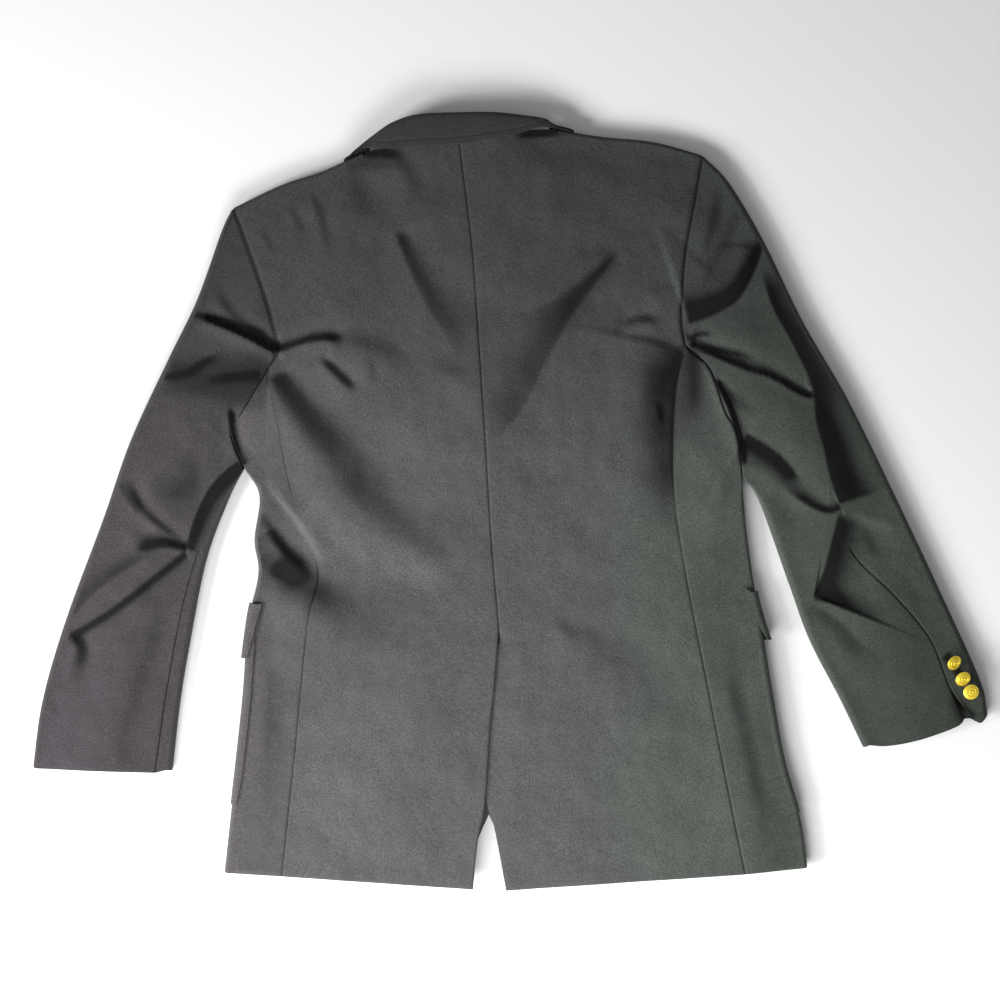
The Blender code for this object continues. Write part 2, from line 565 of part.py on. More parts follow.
# The collar, a row per station from its left end on the floor side round the back of the neck.
# The fall's edge, the roll and the neck seam each have a place in plan and a distance from the
# middle height of the body, out along the collar's face; tilt and heading are that face's angles.
COLLAR_MIDDLE = (TOP + BODY_LEVEL) / 2
COLLAR = [
    # fall x, y, out, roll x, y, out, seam x, y, tilt, heading
    (-152, 305, 7.4, -120, 306, 7.4, -124, 306, -90, 115),
    (-158, 324, 7.4, -131, 326, 7.4, -135, 326, -90, 115),
    (-164, 336, 7.4, -139, 347, 7.4, -144, 345, -90, 115),
    (-164, 336, 7.1, -139, 348, 7.1, -144, 345.6, -45, 115),
    (-164, 336, 7.0, -139, 349, 7.1, -144, 345.8, 0, 115),
    (-162, 338, 7.4, -138, 355, 7.4, -142, 348, 45, 115),
    (-149, 350, 9.5, -136, 363, 8.5, -135, 353, 72, 112),
    (-128, 352, 11.6, -118, 378, 10.8, -120, 358, 90, 110),
    (-95, 354, 13.0, -92, 386, 12.4, -94, 364.5, 90, 98),
    (-54, 356, 13.2, -50, 388, 12.6, -52, 371, 90, 90),
    (-20, 361, 13.2, -14, 388, 12.4, -17, 373, 90, 82),
    (8, 367, 12.0, 16, 385, 10.8, 14, 375, 90, 80),
    (33, 372, 9.8, 36, 380, 8.8, 37, 374.5, 76, 80),
    (61, 365.5, 7.4, 39, 371, 7.4, 44, 370, 45, 80),
    (61, 365.5, 7.0, 39, 370, 7.1, 44.5, 368.6, 0, 80),
    (61, 365.5, 7.1, 39, 369, 7.1, 44.5, 368.4, -45, 80),
    (61, 364, 7.4, 39, 366, 7.4, 44, 366, -90, 80),
    (60, 348, 7.4, 34, 350, 7.4, 38, 350, -90, 80),
    (56, 326, 7.4, 28, 327, 7.4, 32, 327, -90, 80),
]
STAND_STATIONS = slice(4, -7)


def collar_line(table, first, out, face):
    """One of the collar's lines in space, from its place in plan and how far out it lies."""
    middle = np.full(len(table), COLLAR_MIDDLE)
    return np.column_stack([table[:, first], table[:, first + 1], middle]) + face * out[:, None]


def build_collar():
    """The fall, and under it the stand from the roll to the neck seam."""
    table = np.array(COLLAR, float)
    tilt = np.radians(table[:, 8])
    heading = np.radians(table[:, 9])
    face = np.column_stack([np.cos(tilt) * np.cos(heading), np.cos(tilt) * np.sin(heading), np.sin(tilt)])
    fall = collar_line(table, 0, table[:, 2], face)
    roll = collar_line(table, 3, table[:, 5], face)
    share = np.linspace(0, 1, 3)[None, :, None]
    points = fall[:, None] * (1 - share) + roll[:, None] * share
    build_slab("upper_collar", points, np.repeat(face[:, None], 3, axis=1), wall=COLLAR_WALL)
    under = table[:, 5] - COLLAR_WALL - 2 * SEAM_GAP
    near_roll = collar_line(table, 3, under, face)
    seam = collar_line(table, 6, under, face)
    points = near_roll[:, None] * (1 - share) + seam[:, None] * share
    normals = np.repeat(face[:, None], 3, axis=1)
    build_slab("collar_stand", points[STAND_STATIONS], normals[STAND_STATIONS], wall=TRIM_WALL)


def build_buttons():
    """Cuff buttons stand on the right sleeve and under the left; front buttons lie under the fronts."""
    spread = np.linspace(0, 2 * math.pi, 9)
    for number, (x, y) in enumerate(CUFF_BUTTONS_RIGHT, 1):
        rim_x = x + CUFF_BUTTON_RADIUS * np.cos(spread)
        rim_y = y + CUFF_BUTTON_RADIUS * np.sin(spread)
        seat = top_height(rim_x, rim_y).max() + 2 * SEAM_GAP
        build_button(f"cuff_button_right_{number}", x, y, seat, CUFF_BUTTON_HEIGHT, CUFF_BUTTON_RADIUS)
    for number, (x, y) in enumerate(CUFF_BUTTONS_LEFT, 1):
        build_button(f"cuff_button_left_{number}", x, y, 0, FLAT_BUTTON_HEIGHT, CUFF_BUTTON_RADIUS)
    for number, (x, y) in enumerate(FRONT_BUTTONS, 1):
        level = right_front_level(np.array([x]), np.array([y]))[0] if x > ON_RIGHT_FRONT else BODY_LEVEL
        height = level - BODY_LEVEL + FLAT_BUTTON_HEIGHT
        build_button(f"front_button_{number}", x, y, 0, height, FRONT_BUTTON_RADIUS)


def set_on_origin():
    """Bring the middle of the whole garment's box to the origin, with its lowest point at zero."""
    pieces = list(bpy.data.objects)
    corners = np.array([tuple(vertex.co) for piece in pieces for vertex in piece.data.vertices])
    lowest, highest = corners.min(0), corners.max(0)
    shift = -(lowest + highest) / 2
    shift[2] = -lowest[2]
    for piece in pieces:
        for vertex in piece.data.vertices:
            vertex.co = tuple(np.array(vertex.co) + shift)


clear_scene()
for wearer_side in ("left", "right"):
    build_body(wearer_side)
    build_sleeve(wearer_side)
build_collar()
build_buttons()
set_on_origin()
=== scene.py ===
"""Looks of a double-breasted blazer laid flat with its back up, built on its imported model."""
import math

import bpy
import numpy as np
from mathutils import Matrix


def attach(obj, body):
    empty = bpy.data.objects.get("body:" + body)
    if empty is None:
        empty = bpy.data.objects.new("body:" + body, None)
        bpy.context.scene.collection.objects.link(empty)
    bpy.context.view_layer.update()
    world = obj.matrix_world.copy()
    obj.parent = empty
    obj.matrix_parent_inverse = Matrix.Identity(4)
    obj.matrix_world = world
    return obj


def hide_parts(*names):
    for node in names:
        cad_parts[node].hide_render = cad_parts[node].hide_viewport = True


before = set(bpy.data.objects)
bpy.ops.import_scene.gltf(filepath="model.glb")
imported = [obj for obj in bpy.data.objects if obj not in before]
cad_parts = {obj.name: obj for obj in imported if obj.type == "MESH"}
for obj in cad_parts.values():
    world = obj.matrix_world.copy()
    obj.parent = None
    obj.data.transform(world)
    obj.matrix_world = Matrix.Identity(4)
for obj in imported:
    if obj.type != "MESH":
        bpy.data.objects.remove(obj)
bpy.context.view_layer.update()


# The back. Two panels of dark worsted wool are sewn down the centre and end in a vent, where the
# wearer's left panel lies over the right one. Each is a thin shell on its solid's own lines, in
# millimetres from the middle of the garment, +X to the right and +Y up the back to the collar.
MM = 0.001
PLAN_SHIFT = (-0.47, 0.5, 0.0)    # the solids' outline was centred on their origin by this much
WALL = 1.5
TOP = 12.0                        # height along every rolled edge
PUFF = 5.0                        # how much higher the cloth stands away from the edges
PUFF_REACH = 60.0
EDGE_RADIUS = 6.0
BODY_LEVEL = 3.6                  # the fronts' outer face, above their trim and buttons
SEAM_ROWS = np.array([0.45, 1.2, 2.4])    # extra rows this far from each seam
SEAM_DIP = 0.75                   # the cloth turns down into a seam
SEAM_ROUND = 0.9
# Painted shade along the seams
SEAM_PAINTED_SHADE = 0.5
HALF_GAP = 0.06

CENTRE_BACK = [(-52, 368), (-50, 354), (-39, 265), (-34, 204), (-25, 67), (-19, -33), (-11, -128)]
VENT_EDGE = [(-11, -128), (-15, -180), (-20, -230), (-25, -304), (-32, -339), (-37, -388)]
VENT_UNDERLAP = [(-12, -143), (-28, -156), (-36, -230), (-24, -300), (-15, -330), (-4, -389)]
NECK = {
    "left": [(-52, 368), (-95, 361), (-148, 348)],
    "right": [(-52, 368), (-8, 370), (48, 372)],
}
SHOULDER = {
    "left": [(-148, 348), (-164, 341), (-191, 329), (-230, 316), (-278, 293)],
    "right": [(48, 372), (90, 365), (133, 361), (159, 356), (193, 346)],
}
ARMHOLE_UPPER = {
    "left": [(-278, 293), (-264, 257), (-244, 201), (-233, 153), (-243, 130)],
    "right": [(193, 346), (186, 305), (175, 246), (171, 186), (175, 156)],
}
ARMHOLE_LOWER = {
    "left": [(-243, 130), (-267, 91), (-280, 72), (-266, 33)],
    "right": [(175, 156), (200, 132), (214, 91), (228, 65), (232, 23)],
}
SIDE_BACK = {
    "left": [(-243, 130), (-232, 82), (-220, 17), (-192, -66), (-202, -124), (-215, -254), (-228, -375)],
    "right": [(175, 156), (164, 100), (163, 21), (173, -59), (202, -209), (223, -315), (235, -373)],
}
BODY_EDGE = {
    "left": [(-266, 33), (-251, 5), (-256, -39), (-252, -72), (-261, -119), (-267, -199), (-278, -299),
             (-286, -372)],
    "right": [(232, 23), (238, -39), (250, -119), (263, -199), (274, -259), (291, -319), (298, -367)],
}
SLEEVE_OUTER = {
    "left": [(-278, 293), (-289, 270), (-314, 201), (-343, 141), (-380, 61), (-408, -19), (-445, -119),
             (-468, -199), (-478, -267)],
    "right": [(193, 346), (220, 318), (254, 261), (293, 181), (339, 101), (388, 1), (435, -99),
              (471, -179), (479, -212)],
}
SLEEVE_INNER = {
    "left": [(-266, 33), (-282, 1), (-304, -59), (-320, -139), (-330, -199), (-338, -270)],
    "right": [(232, 23), (249, 1), (278, -79), (300, -139), (331, -199), (354, -247)],
}

# The folds, a row each: a bent line, the half width of its steep flank at either end, how far the
# swell beside it reaches in half widths, how high the cloth steps up on the side towards the left
# sleeve and hem, how soon it fades in and out along its length, how much painted shade darkens the
# cloth in it (painted highlight where less than nothing) and how sharply the flank ends on either side.
UP_SIDE = np.array([-0.88, -0.47])
FOLDS = [
    # x0, y0, x1, y1, x2, y2, half, half at end, swell, rise, fade in, fade out, dark, crisp
    # Across the back: from the left armhole
    (-232, 149, -192, 171, -164, 160, 2.2, 4.5, 4.0, 4.5, 0.02, 0.25, 0.85, 3),
    (-192, 146, -176, 130, -150, 107, 3, 4.5, 3.2, 3.2, 0.35, 0.25, 0.4, 3),
    (-139, 142, -137, 128, -136, 114, 3, 4, 3.0, 1.2, 0.4, 0.4, 0.05, 2),
    (-180, 160, -124, 167, -96, 128, 8, 14, 2.4, 2.5, 0.3, 0.5, 0.16, 2),
    (-236, 128, -194, 70, -68, -70, 8, 31, 2.3, 7.5, 0.05, 0.6, 0.3, 3),
    # Over the left waist
    (-249, 20, -201, -27, -189, -63, 2.2, 3, 6.0, -3.6, 0.03, 0.2, 0.0, 2),
    (-249, -12, -237, -44, -186, -82, 4, 8, 2.6, 4.8, 0.08, 0.3, 0.55, 2),
    (-246, -74, -217, -101, -78, -118, 9, 20, 2.4, 3.4, 0.2, 0.6, 0.08, 2),
    # From the neck and shoulders
    (-163, 331, -146, 308, -136, 252, 8, 16, 2.4, 2.6, 0.3, 0.5, 0.04, 2),
    (-203, 309, -186, 298, -181, 238, 3, 4, 3.0, 1.3, 0.3, 0.4, 0.05, 2),
    (-221, 298, -214, 284, -205, 262, 3, 3, 3.0, 1.0, 0.3, 0.4, 0.05, 2),
    (-248, 273, -243, 260, -235, 244, 3, 3, 3.0, 1.0, 0.3, 0.4, 0.05, 2),
    (-113, 350, -101, 334, -89, 298, 7, 12, 2.4, 2.4, 0.1, 0.5, 0.06, 2),
    (-157, 202, -139, 238, -101, 238, 9, 9, 2.6, 1.3, 0.4, 0.4, 0.0, 2),
    (-86, 147, -64, 124, -30, 129, 7, 9, 2.6, 2.0, 0.4, 0.4, 0.05, 2),
    (67, 342, 45, 297, 42, 270, 12, 16, 2.4, 2.2, 0.3, 0.5, 0.04, 2),
    (107, 165, 115, 187, 152, 180, 2.4, 3.5, 3.4, 2.4, 0.35, 0.2, 0.32, 3),
    (134, 202, 141, 214, 167, 214, 4, 4, 3.0, 1.0, 0.4, 0.4, 0.05, 2),
    # Beside the right side seam
    (148, 100, 150, 88, 151, 74, 2.5, 3, 3.0, 1.3, 0.3, 0.4, 0.25, 2),
    (181, 156, 190, 118, 182, 76, 8, 8, 2.2, 2.2, 0.1, 0.4, 0.3, 2),
    # Towards the hem
    (-190, -179, -110, -197, -57, -159, 15, 15, 2.6, 1.3, 0.4, 0.4, 0.0, 2),
    (-237, -132, -240, -220, -243, -306, 8, 8, 2.8, 1.6, 0.3, 0.4, 0.05, 2),
    (213, -146, 232, -220, 263, -359, 8, 8, 2.8, 1.8, 0.3, 0.3, 0.05, 2),
    (23, -99, 95, -135, 183, -239, 15, 18, 2.6, 2.0, 0.4, 0.4, 0.0, 2),
    (40, -118, 60, -128, 78, -140, 7, 7, 2.6, 1.2, 0.4, 0.4, 0.05, 2),
    # Down the left sleeve
    (-296, 217, -282, 181, -242, 160, 7, 4, 2.6, 3.0, 0.3, 0.1, 0.15, 2),
    (-320, 188, -281, 177, -232, 149, 3.2, 1.9, 4.4, 6.0, 0.02, 0.02, 1.2, 4),
    (-384, 27, -374, -16, -324, -39, 4, 3, 3.4, 2.2, 0.3, 0.2, 0.05, 2),
    (-370, -10, -332, 1, -303, 36, 6, 10, 2.6, 3.4, 0.25, 0.3, 0.15, 2),
    (-443, -136, -414, -138, -442, -188, 5, 7, 2.6, 3.6, 0.05, 0.4, 0.4, 2),
    (-466, -193, -459, -204, -450, -219, 3, 3, 3.0, 1.2, 0.1, 0.4, 0.1, 2),
    (-344, -89, -354, -133, -396, -265, 8, 8, 2.8, 2.2, 0.3, 0.1, 0.05, 2),
    # Down the right sleeve
    (213, 318, 204, 281, 191, 236, 6, 5, 2.8, 2.2, 0.2, 0.3, 0.1, 2),
    (236, 298, 215, 262, 190, 214, 6, 6, 2.6, 2.2, 0.2, 0.3, 0.1, 2),
    (209, 110, 227, 98, 245, 88, 6, 6, 2.6, 2.2, 0.3, 0.4, 0.15, 2),
    (352, -25, 361, -42, 368, -60, 6, 6, 2.6, 1.5, 0.4, 0.4, 0.1, 2),
    # Under each arm
    (204, 124, 230, 83, 233, 36, 2.6, 4, 3.2, 3.0, 0.1, 0.02, 1.1, 4),
    # Painted shade with no fold under it: below the left armhole, at the waist and by the collar
    (-352, 126, -290, 120, -240, 118, 16, 30, 1.8, 0.0, 0.15, 0.03, 0.5, 3),
    (-252, -34, -240, -58, -202, -88, 18, 14, 1.8, 0.0, 0.05, 0.2, 0.45, 3),
    (-168, 338, -140, 342, -104, 342, 10, 12, 1.8, 0.0, 0.1, 0.1, 0.42, 3),
    (-365, 20, -340, 10, -305, 10, 10, 16, 1.8, 0.0, 0.3, 0.2, 0.22, 2),
    (-205, -92, -150, -125, -66, -142, 20, 24, 1.8, 0.0, 0.1, 0.5, 0.2, 2),
    (-176, 26, -118, -15, -54, -66, 14, 12, 1.8, 0.0, 0.2, 0.15, 0.3, 2),
    (-240, -60, -206, -84, -140, -108, 11, 16, 1.8, 0.0, 0.15, 0.6, 0.75, 2),
    (-252, -56, -244, -70, -230, -84, 14, 14, 1.8, 0.0, 0.1, 0.4, 0.3, 2),
    (174, 150, 180, 104, 172, 58, 13, 12, 1.8, 0.0, 0.05, 0.4, 0.5, 2),
    (152, 146, 136, 104, 142, 40, 16, 14, 1.8, 0.0, 0.2, 0.4, 0.3, 2),
    (-230, -150, -238, -250, -248, -372, 16, 22, 1.8, 0.0, 0.3, 0.02, 0.2, 2),
    (246, -190, 262, -270, 278, -368, 18, 24, 1.8, 0.0, 0.3, 0.02, 0.16, 2),
    # Painted highlight with no fold under it: beside the centre seam and the right
    # side, low on the left, and along the bright fold over the left waist
    (-135, 100, -80, 50, -45, -30, 34, 38, 1.8, 0.0, 0.3, 0.3, -0.16, 2),
    (192, 60, 186, 0, 194, -80, 16, 24, 1.8, 0.0, 0.3, 0.3, -0.3, 2),
    (-200, -330, -140, -250, -110, -130, 55, 45, 1.8, 0.0, 0.05, 0.3, -0.14, 2),
    (-212, -2, -152, -47, -58, -84, 15, 19, 1.8, 0.0, 0.1, 0.15, -0.42, 2),
    # Painted shadow under the collar's ends
    (-160, 346, -132, 351, -106, 345, 4, 5, 2.0, -0.6, 0.1, 0.35, 1.0, 3),
    (0, 364, 34, 370, 62, 374, 4, 7, 2.0, -0.6, 0.3, 0.1, 1.5, 4),
    # Painted shadow beside the cuff buttons
    (434, -152, 447, -166, 455, -186, 6, 4, 1.8, 0.0, 0.1, 0.1, 0.75, 3),
]

# The sharper folds, each a line whose cloth drops away (or rises, if the drop is negative) on the right
# of its points, and a little on the left: the points, how wide that flank is at either end, how deep,
# how soon it fades in and out along its length, and how much painted shade darkens it.
CRESTS = [
    # On the back: the long soft facets, and the hollow beside the right side seam
    ([(-38, 121), (-60, 161), (-82, 196), (-101, 235), (-115, 269)], 24, 6, 5.0, 0.5, 0.03, 0.42),
    ([(-5, 184), (15, 187), (35, 193), (63, 212), (110, 251)], 32, 3, 1.0, 0.4, 0.1, 0.5),
    ([(110, 251), (67, 195), (36, 143), (12, 95), (-20, 56)], 3, 32, -5.0, 0.1, 0.15, 0.5),
    ([(172, 156), (167, 131), (164, 101), (162, 51), (162, 1), (166, -39)], 24, 17, -5.0, 0.03, 0.4, 0.8),
    # Left sleeve: under the armhole, down the inner edge and across the elbow
    ([(-353, 124), (-325, 129), (-305, 141), (-283, 151)], 3, 5, -3.0, 0.1, 0.3, 0.5),
    ([(-308, 119), (-280, 126), (-248, 129)], 4, 6, -2.5, 0.4, 0.1, 0.5),
    ([(-266, 35), (-272, 46), (-277, 61), (-279, 76), (-281, 94)], 4, 3, 4.0, 0.02, 0.12, 1.3),
    ([(-324, -48), (-308, -4), (-292, 21), (-270, 40)], 7, 12, 4.0, 0.02, 0.05, 1.1),
    ([(-323, -49), (-345, -45), (-378, -51)], 4, 10, 3.5, 0.02, 0.4, 1.2),
    ([(-440, -135), (-395, -107), (-355, -76), (-324, -51)], 4, 4, 2.5, 0.02, 0.02, 1.1),
    ([(-345, -51), (-370, -59), (-415, -89), (-440, -116)], 8, 8, 3.5, 0.3, 0.05, 0.35),
    ([(-367, -19), (-382, 1), (-393, 23)], 10, 7, 3.0, 0.3, 0.3, 0.35),
    # Right sleeve: the trough to the armhole and the creases that fan out from it
    ([(249, 268), (250, 251), (242, 229), (227, 203), (202, 187), (177, 178)], 4, 19, -7.0, 0.15, 0.03, 1.6),
    ([(306, 111), (302, 104), (290, 107), (260, 124), (237, 131), (205, 144), (178, 157)],
     3.5, 6, 4.5, 0.03, 0.02, 1.0),
    ([(205, 166), (190, 166), (177, 161)], 2.4, 2.6, 2.0, 0.4, 0.02, 1.0),
    ([(250, 136), (235, 144), (210, 150), (182, 155)], 2.6, 2.6, 2.0, 0.4, 0.02, 0.9),
    # Down its outer side, and from the armpit and elbow
    ([(331, -5), (324, 15), (319, 31), (315, 51), (307, 81), (303, 116), (282, 161), (263, 196), (251, 238)],
     32, 12, 7.0, 0.02, 0.12, 0.95),
    ([(305, -96), (314, -73), (321, -46), (326, -27), (331, -7)], 20, 14, 6.0, 0.01, 0.15, 0.9),
    ([(385, -121), (355, -113), (331, -103), (303, -98)], 9, 9, 4.5, 0.7, 0.02, 0.6),
    ([(285, -111), (308, -109), (331, -123), (351, -144), (380, -157)], 9, 11, -3.0, 0.25, 0.4, 0.25),
    ([(235, 67), (252, 57), (271, 43), (285, 26), (293, 13)], 17, 10, -5.0, 0.03, 0.3, 1.2),
    ([(331, -6), (320, -11), (307, -8), (287, 4), (265, 21)], 3.5, 9, 4.5, 0.02, 0.5, 0.95),
]


FOLD_REACH = 2.2                  # a fold is left out past this many swells
CREST_REACH = 5                   # and a crest past this many widths
CREST_BACK = 0.4                  # how deep it sinks on its other side, as a share of its drop
# Painted shade fills a crest's flank and draws a dark line along its top
CREST_LINE = 1.8                  # width of the dark line at its top, in millimetres
# Painted shade runs up to 1; below 0 it is painted highlight
PAINTED_SHADING_RANGE = (-0.4, 1)


def smooth_step(value):
    value = np.clip(value, 0, 1)
    return value * value * (3 - 2 * value)


def fine_line(table):
    """A smooth line through a table's own points, sixteen steps to each."""
    points = np.array(table, float)
    padded = np.vstack([2 * points[0] - points[1], points, 2 * points[-1] - points[-2]])
    share = np.linspace(0, 1, 17)[:-1, None]
    fine = []
    for before, start, end, after in zip(padded[:-3], padded[1:-2], padded[2:-1], padded[3:]):
        turn = 2 * before - 5 * start + 4 * end - after
        twist = 3 * start - before - 3 * end + after
        fine.append(start + 0.5 * ((end - before) * share + turn * share ** 2 + twist * share ** 3))
    return np.vstack(fine + [points[-1:]])


def line_at(table, at):
    """Points at these shares of the length of a smooth line through a table's own points."""
    fine = fine_line(table)
    along = np.concatenate([[0], np.cumsum(np.linalg.norm(np.diff(fine, axis=0), axis=1))])
    wanted = np.asarray(at) * along[-1]
    return np.column_stack([np.interp(wanted, along, fine[:, axis]) for axis in range(fine.shape[1])])


def shares(steps, length, first=False, last=False):
    """Shares of a length for this many steps, some of them close beside each end that is a seam."""
    close = SEAM_ROWS / length
    head = np.concatenate([[0], close[:-1]]) if first else np.zeros(0)
    tail = np.concatenate([1 - close[-2::-1], [1]]) if last else np.zeros(0)
    start = close[-1] if first else 0
    end = 1 - close[-1] if last else 1
    return np.concatenate([head, np.linspace(start, end, steps + 1 - len(head) - len(tail)), tail])


def join(*lines):
    """One line from several that follow on, with no point twice."""
    return np.vstack([lines[0]] + [line[1:] for line in lines[1:]])


def join_shares(split, first, second):
    """Shares of two stretches that follow on, the first being this share of the whole."""
    return np.concatenate([split * first, split + (1 - split) * second[1:]])


def nearest(line, x, y):
    """Distance in plan to a line, the side of it (1 to its left) and how far along it that is."""
    place = np.stack([x, y], -1)[..., None, :]
    start = line[:-1]
    run = line[1:] - start
    share = np.clip(((place - start) * run).sum(-1) / (run * run).sum(-1), 0, 1)
    offset = place - start - share[..., None] * run
    distance = np.linalg.norm(offset, axis=-1)
    best = distance.argmin(-1)[..., None]
    turn = run[:, 0] * offset[..., 1] - run[:, 1] * offset[..., 0]
    side = np.sign(np.take_along_axis(turn, best, -1)[..., 0])
    along = (best[..., 0] + np.take_along_axis(share, best, -1)[..., 0]) / len(start)
    return np.take_along_axis(distance, best, -1)[..., 0], side, along


EVEN_60 = np.linspace(0, 1, 61)
ROLLED_EDGES = []
for wearer_side in ("left", "right"):
    ROLLED_EDGES.append(join(line_at(SHOULDER[wearer_side], EVEN_60),
                             line_at(SLEEVE_OUTER[wearer_side], EVEN_60)))
    ROLLED_EDGES.append(line_at(SLEEVE_INNER[wearer_side], EVEN_60))
    ROLLED_EDGES.append(line_at(BODY_EDGE[wearer_side], EVEN_60))


def folds_at(x, y):
    """What the folds add to the height, and the painted shade in them, which is painted highlight where
    negative.
    """
    height = np.zeros_like(x)
    dark = np.zeros_like(x)
    share = np.linspace(0, 1, 17)[:, None]
    for x0, y0, x1, y1, x2, y2, half, half_end, swell, rise, fade_in, fade_out, shade, crisp in FOLDS:
        line = (1 - share) ** 2 * (x0, y0) + 2 * share * (1 - share) * (x1, y1) + share ** 2 * (x2, y2)
        margin = FOLD_REACH * swell * max(half, half_end)
        low = line.min(0) - margin
        high = line.max(0) + margin
        near = (x > low[0]) & (x < high[0]) & (y > low[1]) & (y < high[1])
        if not near.any():
            continue
        distance, side, along = nearest(line, x[near], y[near])
        run = line[-1] - line[0]
        facing = np.sign(-run[1] * UP_SIDE[0] + run[0] * UP_SIDE[1])
        width = half + (half_end - half) * along
        taper = smooth_step(along / fade_in) * smooth_step((1 - along) / fade_out)
        past = np.exp(-((distance / (swell * width)) ** 2))
        across = distance / width
        ramp = across / (1 + across ** crisp) ** (1 / crisp)
        height[near] += rise * ramp * side * facing * past * taper
        dark[near] += shade / (1 + across ** (2 * crisp)) * past * taper
    for table, width_start, width_end, drop, fade_in, fade_out, shade in CRESTS:
        line = line_at(table, np.linspace(0, 1, 41))
        margin = CREST_REACH * max(width_start, width_end)
        low = line.min(0) - margin
        high = line.max(0) + margin
        near = (x > low[0]) & (x < high[0]) & (y > low[1]) & (y < high[1])
        if not near.any():
            continue
        distance, side, along = nearest(line, x[near], y[near])
        width = width_start + (width_end - width_start) * along
        taper = smooth_step(along / fade_in) * smooth_step((1 - along) / fade_out)
        away = distance / width
        fall = (1 - np.exp(-away ** 1.5)) * np.exp(-((away / 3.2) ** 2))
        sink = CREST_BACK * (1 - np.exp(-(away / 2) ** 1.5)) * np.exp(-((away / 3.6) ** 2))
        height[near] -= drop * np.where(side < 0, fall, sink) * taper
        flank = np.exp(-(away / 1.35) ** 2.2)
        line_only = np.exp(-((distance / CREST_LINE) ** 2))
        dark[near] += shade * np.where(side < 0, flank, line_only) * taper
    return height, np.clip(dark, *PAINTED_SHADING_RANGE)


# Slight unevenness of handled cloth: long soft waves at odd angles, each with its own length
WAVES = [
    # length, direction in degrees, height, phase
    (87, 24, 0.35, 0.3),
    (61, 112, 0.30, 2.1),
    (43, 67, 0.20, 4.0),
    (31, 151, 0.13, 1.2),
    (23, 8, 0.09, 5.2),
    (17, 95, 0.05, 3.3),
]


def waves_at(x, y):
    total = np.zeros_like(x)
    for length, direction, height, phase in WAVES:
        angle = math.radians(direction)
        along = x * math.cos(angle) + y * math.sin(angle)
        across = y * math.cos(angle) - x * math.sin(angle)
        drift = 1.1 * np.sin(2 * math.pi * across / (2.3 * length) + 2 * phase)
        total += height * np.sin(2 * math.pi * along / length + phase + drift)
    return total


FOLD_ONSET = 22                   # the folds reach their full height this far in from an edge


def top_height(x, y):
    """Height of the upper layer's outer face, and the painted shade there."""
    edge = np.min([nearest(line, x, y)[0] for line in ROLLED_EDGES], axis=0) - EDGE_RADIUS
    swell = PUFF * smooth_step(edge / PUFF_REACH)
    height, dark = folds_at(x, y)
    return TOP + swell + (height + waves_at(x, y)) * smooth_step(edge / FOLD_ONSET + 0.02), dark


def body_level(x, y):
    return np.full_like(x, BODY_LEVEL), np.zeros_like(x)


def patch_grid(first, last, start, end, along, across, settle=1):
    """Points in plan between four lines: first and last run along, start and end across."""
    along = along[:, None, None]
    across = across[None, :, None]
    sides = (1 - across) * first[:, None] + across * last[:, None]
    start_bend = start[None] - ((1 - across) * first[0] + across * last[0])
    end_bend = end[None] - ((1 - across) * first[-1] + across * last[-1])
    return sides + (1 - along) ** settle * start_bend + along ** settle * end_bend


def lift(plan, height, up):
    """A grid in plan set at its height: its points, outward normals and painted shade."""
    level, dark = height(plan[..., 0], plan[..., 1])
    normals = np.zeros(plan.shape[:2] + (3,))
    normals[..., 2] = up
    return np.dstack([plan, level]), normals, dark


def outward(line, side):
    """Unit normals of a line, to its left when side is 1 and to its right when -1."""
    run = np.gradient(line, axis=0)
    run /= np.linalg.norm(run, axis=1)[:, None]
    return np.column_stack([-run[:, 1], run[:, 0]]) * side


def side_by_side(*strips):
    """Strips that follow on across, as one, with no column twice."""
    return [np.concatenate([strips[0][part]] + [strip[part][:, 1:] for strip in strips[1:]], axis=1)
            for part in range(3)]


def turn_in(strip, edges):
    """Round a panel's seam edges down into their seams, each as deep as its number or row of them, and paint
    shade along them.
    """
    points, normals, dark = (part.copy() for part in strip)
    for edge, depth in edges.items():
        turned, faces, shade = points, normals, dark
        if edge in ("first", "last"):
            turned, faces, shade = points.swapaxes(0, 1), normals.swapaxes(0, 1), dark.T
        if edge in ("end", "last"):
            turned, faces, shade = turned[::-1], faces[::-1], shade[::-1]
        depth = np.broadcast_to(depth, turned[0, :, 0].shape)
        reach = np.linalg.norm(turned[:7] - turned[:1], axis=-1)
        turned[:7] -= faces[:7] * (SEAM_DIP * depth * np.exp(-((reach / SEAM_ROUND) ** 2)))[..., None]
        # Painted shade along the seam
        shade[:5] += SEAM_PAINTED_SHADE * depth * np.exp(-((reach[:5] / (0.6 + 0.25 * depth)) ** 2))
        pull = turned[1] - turned[0]
        turned[0] += pull * (HALF_GAP * np.minimum(depth, 1) / np.linalg.norm(pull, axis=1))[:, None]
    return points, normals, dark


